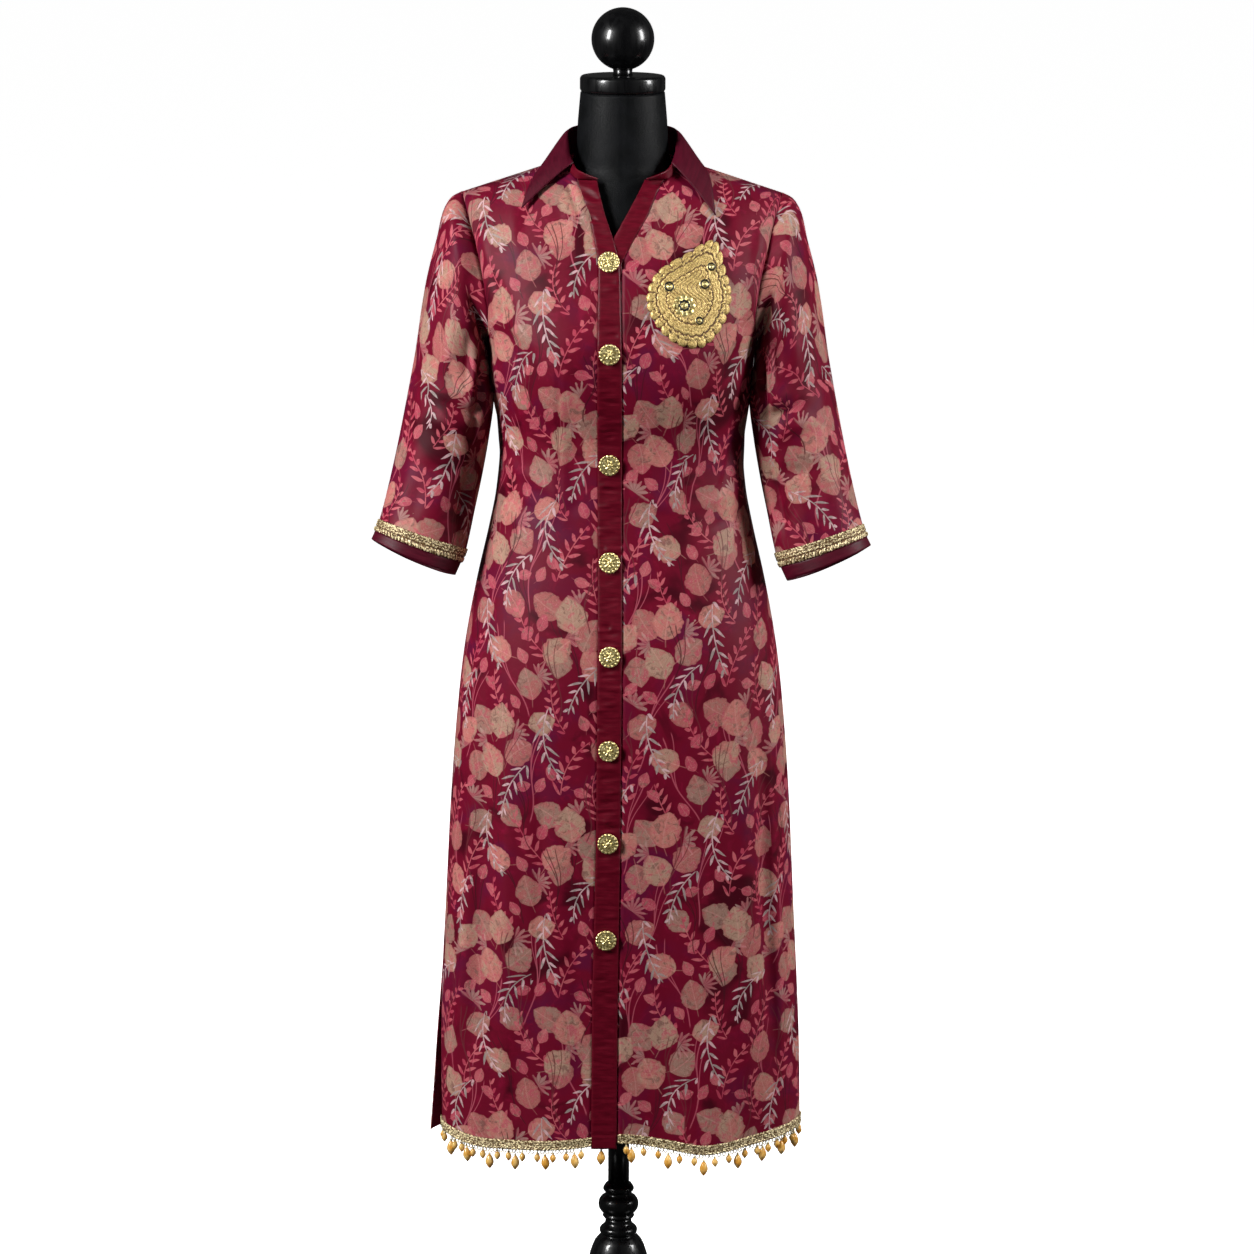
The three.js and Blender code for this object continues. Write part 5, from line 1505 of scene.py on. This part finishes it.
# radius and height of a bead's rings, from its top down
DROP_BEAD = [(0.0009, 0.0), (0.0023, -0.0014), (0.0037, -0.0042), (0.0047, -0.0074),
             (0.0047, -0.0098), (0.0038, -0.0122), (0.0020, -0.0148), (0.0006, -0.0164)]
SHORT_BEAD = [(0.0008, 0.0), (0.0024, -0.0012), (0.0035, -0.0036), (0.0034, -0.0058),
              (0.0019, -0.0082), (0.0006, -0.0097)]
TINY_BEAD = [(0.0006, 0.0000), (0.0014, -0.0009), (0.0014, -0.0020), (0.0006, -0.0029)]
DROP_THREAD = 0.0066
BAND_THREAD = 0.0062
SHORT_THREAD = 0.0040
THREAD_R = 0.00035
LOOP_R = 0.00050
LEAN = 0.06
HEM_TUCK = np.array([0, 0, 0.0004])
WIDE_GAP = 0.022
NARROW_GAP = 0.010


class Strands:
    """Collects turned beads and threads into one mesh."""

    def __init__(self):
        self.points, self.faces, self.slots = [], [], []

    def add(self, rings, slot, flip=False):
        faces = capped_faces(*rings.shape[:2], len(self.points), flip)
        self.points += list(rings.reshape(-1, 3))
        self.faces += faces
        self.slots += [slot] * len(faces)

    def bead(self, profile, top, lean, sides, slot):
        rings = turned_rings(profile, sides)
        self.add(top + rings + rings[..., 2:] * (*lean, 0), slot, True)

    def thread(self, path, radius):
        path = np.array(path, float)
        ends = np.pad(path, ((1, 1), (0, 0)), "edge")
        along = unit(ends[2:] - ends[:-2])
        first = unit(np.cross(along, [0.3, 1, 0.2]))
        second = np.cross(along, first)
        angle = (2 * math.pi * np.arange(6) / 6)[:, None]
        around = first[:, None] * np.cos(angle) + second[:, None] * np.sin(angle)
        self.add(path[:, None] + radius * around, 1)

    def hang(self, top, out, profile, length, lean):
        """A thread from the hem to the bead, with a tiny bead above it."""
        foot = top - np.array([*lean, 1]) * length
        middle = (top + foot) / 2 + out * 0.0003
        self.thread([top + 3 * HEM_TUCK, top, middle, foot - HEM_TUCK], THREAD_R)
        self.bead(TINY_BEAD, foot + [0, 0, 0.0022], lean, 8, 1)
        self.bead(profile, foot, lean, 12, 0)

    def loop(self, top, out):
        """A small loop of thread below the hem."""
        angle = np.linspace(0, 2 * math.pi, 11)[:, None]
        along = np.cross(out, [0, 0, 1.0])
        self.thread(top + along * 0.0019 * np.sin(angle) * (1 + 0.4 * np.cos(angle))
                    + np.array([0, 0, 1]) * (-0.0020 + 0.0025 * np.cos(angle)), LOOP_R)


def fringe(name, line, out):
    random = np.random.default_rng(FRINGE_SEED[name])
    strands = Strands()
    order = np.argsort(line[:, 0])
    line, out = line[order] - out[order] * (CLOTH / 2), out[order]
    walk = arc(line)

    def at(s):
        place, facing = (np.array([np.interp(s, walk, lines[:, a]) for a in range(3)])
                         for lines in (line, out))
        return place - HEM_TUCK, facing

    def lean():
        return random.uniform(-LEAN, LEAN, 2)

    for x in BEHIND_BAND[name]:
        beside = line[np.argmin(np.abs(line[:, 0] - x)), 1]
        strands.hang(np.array([x, beside + 0.003, HEM_Z - 0.001]), np.array([0, -1.0, 0]),
                     DROP_BEAD, BAND_THREAD, lean())
    places = sorted(np.interp(x, line[:, 0], walk) for x in DROPS[name])
    for s in places:
        strands.hang(*at(s), DROP_BEAD, DROP_THREAD + random.uniform(-0.0008, 0.0008), lean())
    ends = [0.003] + places + [walk[-1] - 0.003]
    for low, high in zip(ends, ends[1:]):
        gap = high - low
        if gap < NARROW_GAP:
            continue
        for share in ((0.28, 0.74) if gap > WIDE_GAP else (0.5,)):
            strands.hang(*at(low + gap * (share + random.uniform(-0.04, 0.04))), SHORT_BEAD,
                         SHORT_THREAD + random.uniform(-0.0008, 0.0012), lean())
        if gap > WIDE_GAP:
            for share in (0.09, 0.20, 0.43, 0.58, 0.82, 0.92):
                strands.loop(*at(low + gap * share))
    obj = build(f"fringe_{name}_beads", strands.points, strands.faces, [AMBER, GOLD_THREAD],
                strands.slots)
    return piece(obj, f"fringe_{name}", "beads")


fringes = {name: fringe(name, *hem_lines[name]) for name in SIDES}

# ------------------------------------------------------------------ buttons

DISC_SIDES = 96


def disc(radii, height, reach, back):
    """A shaped disc round +Z, with a relief on its face and a flat back: its rings."""
    angle = np.linspace(0, 2 * math.pi, DISC_SIDES, endpoint=False)
    r, a = np.meshgrid(radii, angle, indexing="ij")
    x, y = r * reach(a) * np.cos(a), r * reach(a) * np.sin(a)
    face = np.stack([x, y, height(r, a)], -1)
    base = np.stack([x, y, np.full_like(x, back)], -1)[::-1]
    return np.concatenate([face, base])


def set_on(point, normal, rings):
    """Rings round +Z, moved to a point of the cloth and turned to face out of it."""
    right = unit(np.cross([0, 0, 1.0], normal))
    up = np.cross(normal, right)
    return point + rings[..., :1] * right + rings[..., 1:2] * up + rings[..., 2:] * normal


def ring_mesh(name, rings, materials, slots=None):
    return build(name, rings.reshape(-1, 3), capped_faces(*rings.shape[:2]), materials, slots)


BUTTONS = 8
BUTTON_R = 0.0117
BUTTON_LIFT = 0.00206
BUTTON_BACK = 0.0014
BUTTON_TURN = 0.7
ROSETTE = 8
DOTS = 30
SCALLOPS = 16
SHANK = [(0.0026, -0.0004), (0.0022, 0.0004), (0.0022, 0.0016)]


def button_relief(r, a):
    """A domed face with a scalloped rim, a ring of dots, petals and a boss."""
    s = r / BUTTON_R
    rim = 0.0011 * bell((s - 0.88) / 0.10) * (0.55 + 0.45 * np.cos(SCALLOPS * a))
    ring = 0.0006 * bell((s - 0.66) / 0.045) * (0.7 + 0.3 * np.cos(DOTS * a))
    petals = 0.0011 * bell((s - 0.36) / 0.16) * (0.5 + 0.5 * np.cos(ROSETTE * a))
    boss = 0.0014 * bell(s / 0.15)
    return 0.0030 + 0.0006 * (1 - s * s) + rim + ring + petals + boss


def make_button(i):
    """A shank button on its CAD place, each turned a little from the last."""
    low, high = (np.array(corner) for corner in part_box(f"button_{i}"))
    middle = (low + high) / 2
    point, normal = cloth_point(middle[0], middle[2], "front")
    point = point + normal * BUTTON_LIFT
    radii = np.append(np.linspace(0.0004, BUTTON_R * 0.97, 26), BUTTON_R)
    rings = disc(radii, button_relief,
                 lambda a: 1 - 0.035 * (0.5 - 0.5 * np.cos(SCALLOPS * a)), BUTTON_BACK)
    turn = Matrix.Rotation((BUTTON_TURN * i) % (2 * math.pi / SCALLOPS), 3, "Z")
    rings = rings @ np.array(turn).T
    obj = ring_mesh(f"button_{i}_rosette", set_on(point, normal, rings), [GOLD_PALE])
    shank = set_on(point, normal, turned_rings(SHANK, 16))
    ring_mesh(f"button_{i}_shank", shank, [GOLD_PALE]).parent = obj
    piece(obj, f"button_{i}", "button")


for i in range(1, BUTTONS + 1):
    make_button(i)

# ------------------------------------------------------------------ chest ornament

PATCH_X, PATCH_Z = 0.073, 1.270
# x, z of points of the outline, from the patch's middle
PATCH_OUTLINE = np.array([
    (0.027, 0.057), (0.039, 0.027), (0.045, -0.002), (0.037, -0.030), (0.015, -0.053),
    (-0.014, -0.049), (-0.036, -0.029), (-0.046, -0.004), (-0.036, 0.024), (-0.004, 0.044),
])
PATCH_PAD = 0.0012
FLOWER_BACK = 0.0016
PATCH_SCALLOPS = 26
PATCH_SIDES = 520
PATCH_RINGS = 86
# x, z from the patch's middle, radius, petals
FLOWERS = [(-0.006, -0.010, 0.0125, 8), (0.016, 0.012, 0.0062, 0), (0.023, 0.030, 0.0052, 0),
           (-0.022, 0.010, 0.0062, 0), (0.010, -0.026, 0.0050, 0)]


def patch_edge(turns):
    """The outline by share of a turn, smooth through the listed points."""
    count = len(PATCH_OUTLINE)
    line = PATCH_OUTLINE[np.arange(-1, count + 3) % count]
    at = 1 + turns * count
    i = np.floor(at).astype(int)
    return hermite(np.arange(len(line), dtype=float)[:, None], line, i, (at - i)[:, None])


def on_front(x, z):
    point, normal = cloth_point(x, z, "front")
    return point + normal * front_lift(x, z, np.full(np.shape(x), 0.5))[..., None], normal


def patch_relief(s, turn, x, z):
    """Bands of couched cord that follow the outline, scrolls and a row of small shells."""
    shells = 0.0011 * wavy(PATCH_SCALLOPS * turn, 0.7) * bell((s - 0.93) / 0.055)
    rope = 0.0009 * bell((s - 0.82) / 0.025) * (
        0.65 + 0.35 * np.sin(2 * math.pi * (70 * turn + 9 * s)))
    cords = 0.0008 * wavy((s - 0.56) / 0.065, 0.7) * ((s > 0.56) & (s < 0.755))
    cords = cords * (0.85 + 0.15 * np.sin(2 * math.pi * (130 * turn + 6 * s)))
    pearls = 0.0012 * bell((s - 0.495) / 0.028) * wavy(34 * turn, 0.8)
    scroll = 0.0007 * wavy(x * 210 + 1.6 * np.sin(z * 190), 0.8) * (s < 0.45)
    fine = 0.00022 * np.sin(x * 2600) * np.sin(z * 2600)
    return shells + rope + cords + pearls + scroll + fine


def make_patch():
    turn = np.arange(PATCH_SIDES) / PATCH_SIDES
    uneven = 0.75 + 0.5 * np.sin(np.floor(PATCH_SCALLOPS * turn) * 2.4) ** 2
    wave = 1.015 + 0.055 * uneven * (wavy(PATCH_SCALLOPS * turn, 0.55) - 1)
    shares = np.linspace(0.012, 1, PATCH_RINGS)[:, None]
    x, z = (shares * line * wave for line in patch_edge(turn).T)
    base, normal = on_front(PATCH_X + x, PATCH_Z + z)
    relief = patch_relief(shares, turn, x, z)
    crown = 0.0026 * np.sqrt(np.maximum(0, 1 - shares ** 10))
    top = base + normal * (PATCH_PAD + 0.0002 + crown + relief)[..., None]
    under = (base + normal * (PATCH_PAD * 0.4))[::-17]
    rings = np.concatenate([top, under])
    # faces low between the cords, and the underside, get the darker gold as painted shade
    low = np.concatenate([relief < 0.00035, np.ones(under.shape[:2], bool)]).reshape(-1)
    quads = grid_faces(len(rings), PATCH_SIDES, True)
    obj = ring_mesh("patch_couched", rings, [GOLD_RICH, GOLD_PAINTED_SHADE],
                    [*low[quads].all(1).astype(int), 0, 1])
    return piece(obj, "patch", "embroidery")


def make_flower(k, x, z, radius, petals):
    """A flower with petals and a dark ring round its centre, or a plain ringed bead."""
    base, normal = on_front(PATCH_X + x, PATCH_Z + z)
    ring_at, ring_reach, ring_dark, centre_reach = (
        (0.42, 0.13, 0.10, 0.2) if petals else (0.72, 0.2, 0.17, 0.35))

    def lobes(a, power):
        return np.abs(np.cos(petals / 2 * a)) ** power

    def height(r, a):
        s = r / radius
        ring = 0.0016 * (bell((s - ring_at) / ring_reach) + bell(s / centre_reach))
        return 0.0042 + ring + 0.0015 * bool(petals) * bell((s - 0.74) / 0.2) * lobes(a, 0.7)

    radii = np.linspace(0.0002, radius, 30)
    rings = disc(radii, height, lambda a: 0.80 + 0.20 * lobes(a, 0.5), FLOWER_BACK)
    share = np.concatenate([radii / radius, np.full(len(radii), 2.0)])
    share[len(radii)] = 1
    dark = np.abs((share[:-1] + share[1:]) / 2 - ring_at) < ring_dark
    return ring_mesh(f"patch_flower_{k}", set_on(base, normal, rings), [GOLD_PALE, BLACK_RING],
                     [*np.repeat(dark.astype(int), DISC_SIDES), 0, 0])


patch = make_patch()
for k, flower in enumerate(FLOWERS):
    make_flower(k + 1, *flower).parent = patch

# ------------------------------------------------------------------ cloth measures


def cloth_sheet(obj, rests_on, with_pieces=()):
    """Measures the flat size and area of a piece of cloth from its cut, and keeps neither."""
    width, length = (float(size) for size in np.ptp(read_cut(obj), 0))
    area = sum(face.area for face in obj.data.polygons) / 2
    min(area, width * length)
    list(with_pieces)


for name in SIDES:
    cloth_sheet(fronts[name], ["form_torso"], [hem_braids[name], fringes[name]])
    cloth_sheet(sleeves[name], [f"front_{name}", "back"], [cuff_braids[name]])
    cloth_sheet(cuffs[name], [f"sleeve_{name}"])
cloth_sheet(back, ["form_torso"])
cloth_sheet(placket_over, ["front_right", "placket_under"])
cloth_sheet(placket_under, ["front_left"])
cloth_sheet(collar_stand, ["back"])
cloth_sheet(collar, ["collar_stand"])

# ------------------------------------------------------------------ stage and lights

FLOOR_Z = -0.0005
FLOOR_R = 70
WALL_R = 69
WALL_HEIGHT = 80
LIGHT_AIM = Vector((0, 0, 0.95))
WORLD_LIGHT = 0.04
# name, azimuth in degrees, distance, height, width, tall, watts, shows in reflections
LIGHTS = [
    ("key_left", -55, 3.0, 2.4, 0.6, 1.6, 160, True),
    ("key_right", 76, 3.0, 2.2, 0.7, 1.6, 112, True),
    ("front_fill", 8, 5.0, 2.4, 2.0, 1.4, 13, False),
    ("back_fill", 180, 4.0, 2.2, 2.4, 1.6, 40, False),
    ("top", 180, 1.2, 3.4, 2.0, 2.0, 14, False),
]


def backdrop(name, material):
    """Puts the mesh just added on the stage, without lighting or mirroring in the shirt."""
    obj = bpy.context.object
    obj.name = name
    obj.data.materials.append(material)
    obj.visible_diffuse = False
    obj.visible_glossy = False
    obj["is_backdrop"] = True
    return obj


def make_stage():
    """A pale floor, and a wall far off that goes on from it above the horizon."""
    pale = Look("floor", Roughness=0.9, Base_Color=(0.8, 0.8, 0.8, 1), Emission_Strength=0.96,
                Emission_Color=(1, 1, 1, 1)).material
    bpy.ops.mesh.primitive_circle_add(vertices=96, radius=FLOOR_R, fill_type="NGON",
                                      location=(0, 0, FLOOR_Z))
    backdrop("floor", pale)
    bpy.ops.mesh.primitive_cylinder_add(vertices=96, radius=WALL_R, depth=WALL_HEIGHT,
                                        end_fill_type="NOTHING",
                                        location=(0, 0, WALL_HEIGHT / 2 - 0.1))
    backdrop("wall", pale).visible_shadow = False


def make_light(name, azimuth, distance, height, width, tall, power, glossy):
    light = bpy.data.lights.new(name, "AREA")
    light.shape = "RECTANGLE"
    light.size, light.size_y = width, tall
    light.energy = power
    lamp = bpy.data.objects.new(name, light)
    a = math.radians(azimuth)
    lamp.location = (distance * math.sin(a), -distance * math.cos(a), height)
    lamp.rotation_euler = (LIGHT_AIM - lamp.location).to_track_quat("-Z", "Y").to_euler()
    lamp.visible_glossy = glossy
    bpy.context.scene.collection.objects.link(lamp)


def make_world():
    world = bpy.data.worlds.new("studio")
    world.use_nodes = True
    sky = world.node_tree.nodes["Background"].inputs
    sky["Color"].default_value = (1, 1, 1, 1)
    sky["Strength"].default_value = WORLD_LIGHT
    bpy.context.scene.world = world


make_world()
make_stage()
for row in LIGHTS:
    make_light(*row)

# ------------------------------------------------------------------ camera

CAMERA_AIM = Vector((0.0071, 0, 0.884))
CAMERA_DISTANCE = 5.6
CAMERA_ELEVATION = math.radians(11)
CAMERA_ROLL = math.radians(0.23)
CAMERA_LENS = 143.54
CAMERA_SENSOR = 36
CAMERA_REACH = 200


def set_camera():
    camera = bpy.data.cameras.new("camera")
    camera.lens = CAMERA_LENS
    camera.sensor_width = CAMERA_SENSOR
    camera.clip_end = CAMERA_REACH
    obj = bpy.data.objects.new("camera", camera)
    bpy.context.scene.collection.objects.link(obj)
    away = Vector((0, -math.cos(CAMERA_ELEVATION), math.sin(CAMERA_ELEVATION)))
    turn = (-away).to_track_quat("-Z", "Y").to_matrix() @ Matrix.Rotation(CAMERA_ROLL, 3, "Z")
    obj.matrix_world = Matrix.Translation(CAMERA_AIM + away * CAMERA_DISTANCE) @ turn.to_4x4()
    bpy.context.scene.camera = obj


set_camera()
bpy.context.scene.view_settings.view_transform = "Standard"

visual_bounds = [list(corner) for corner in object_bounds()]
{"cad": cad_bounds, "visual": visual_bounds}
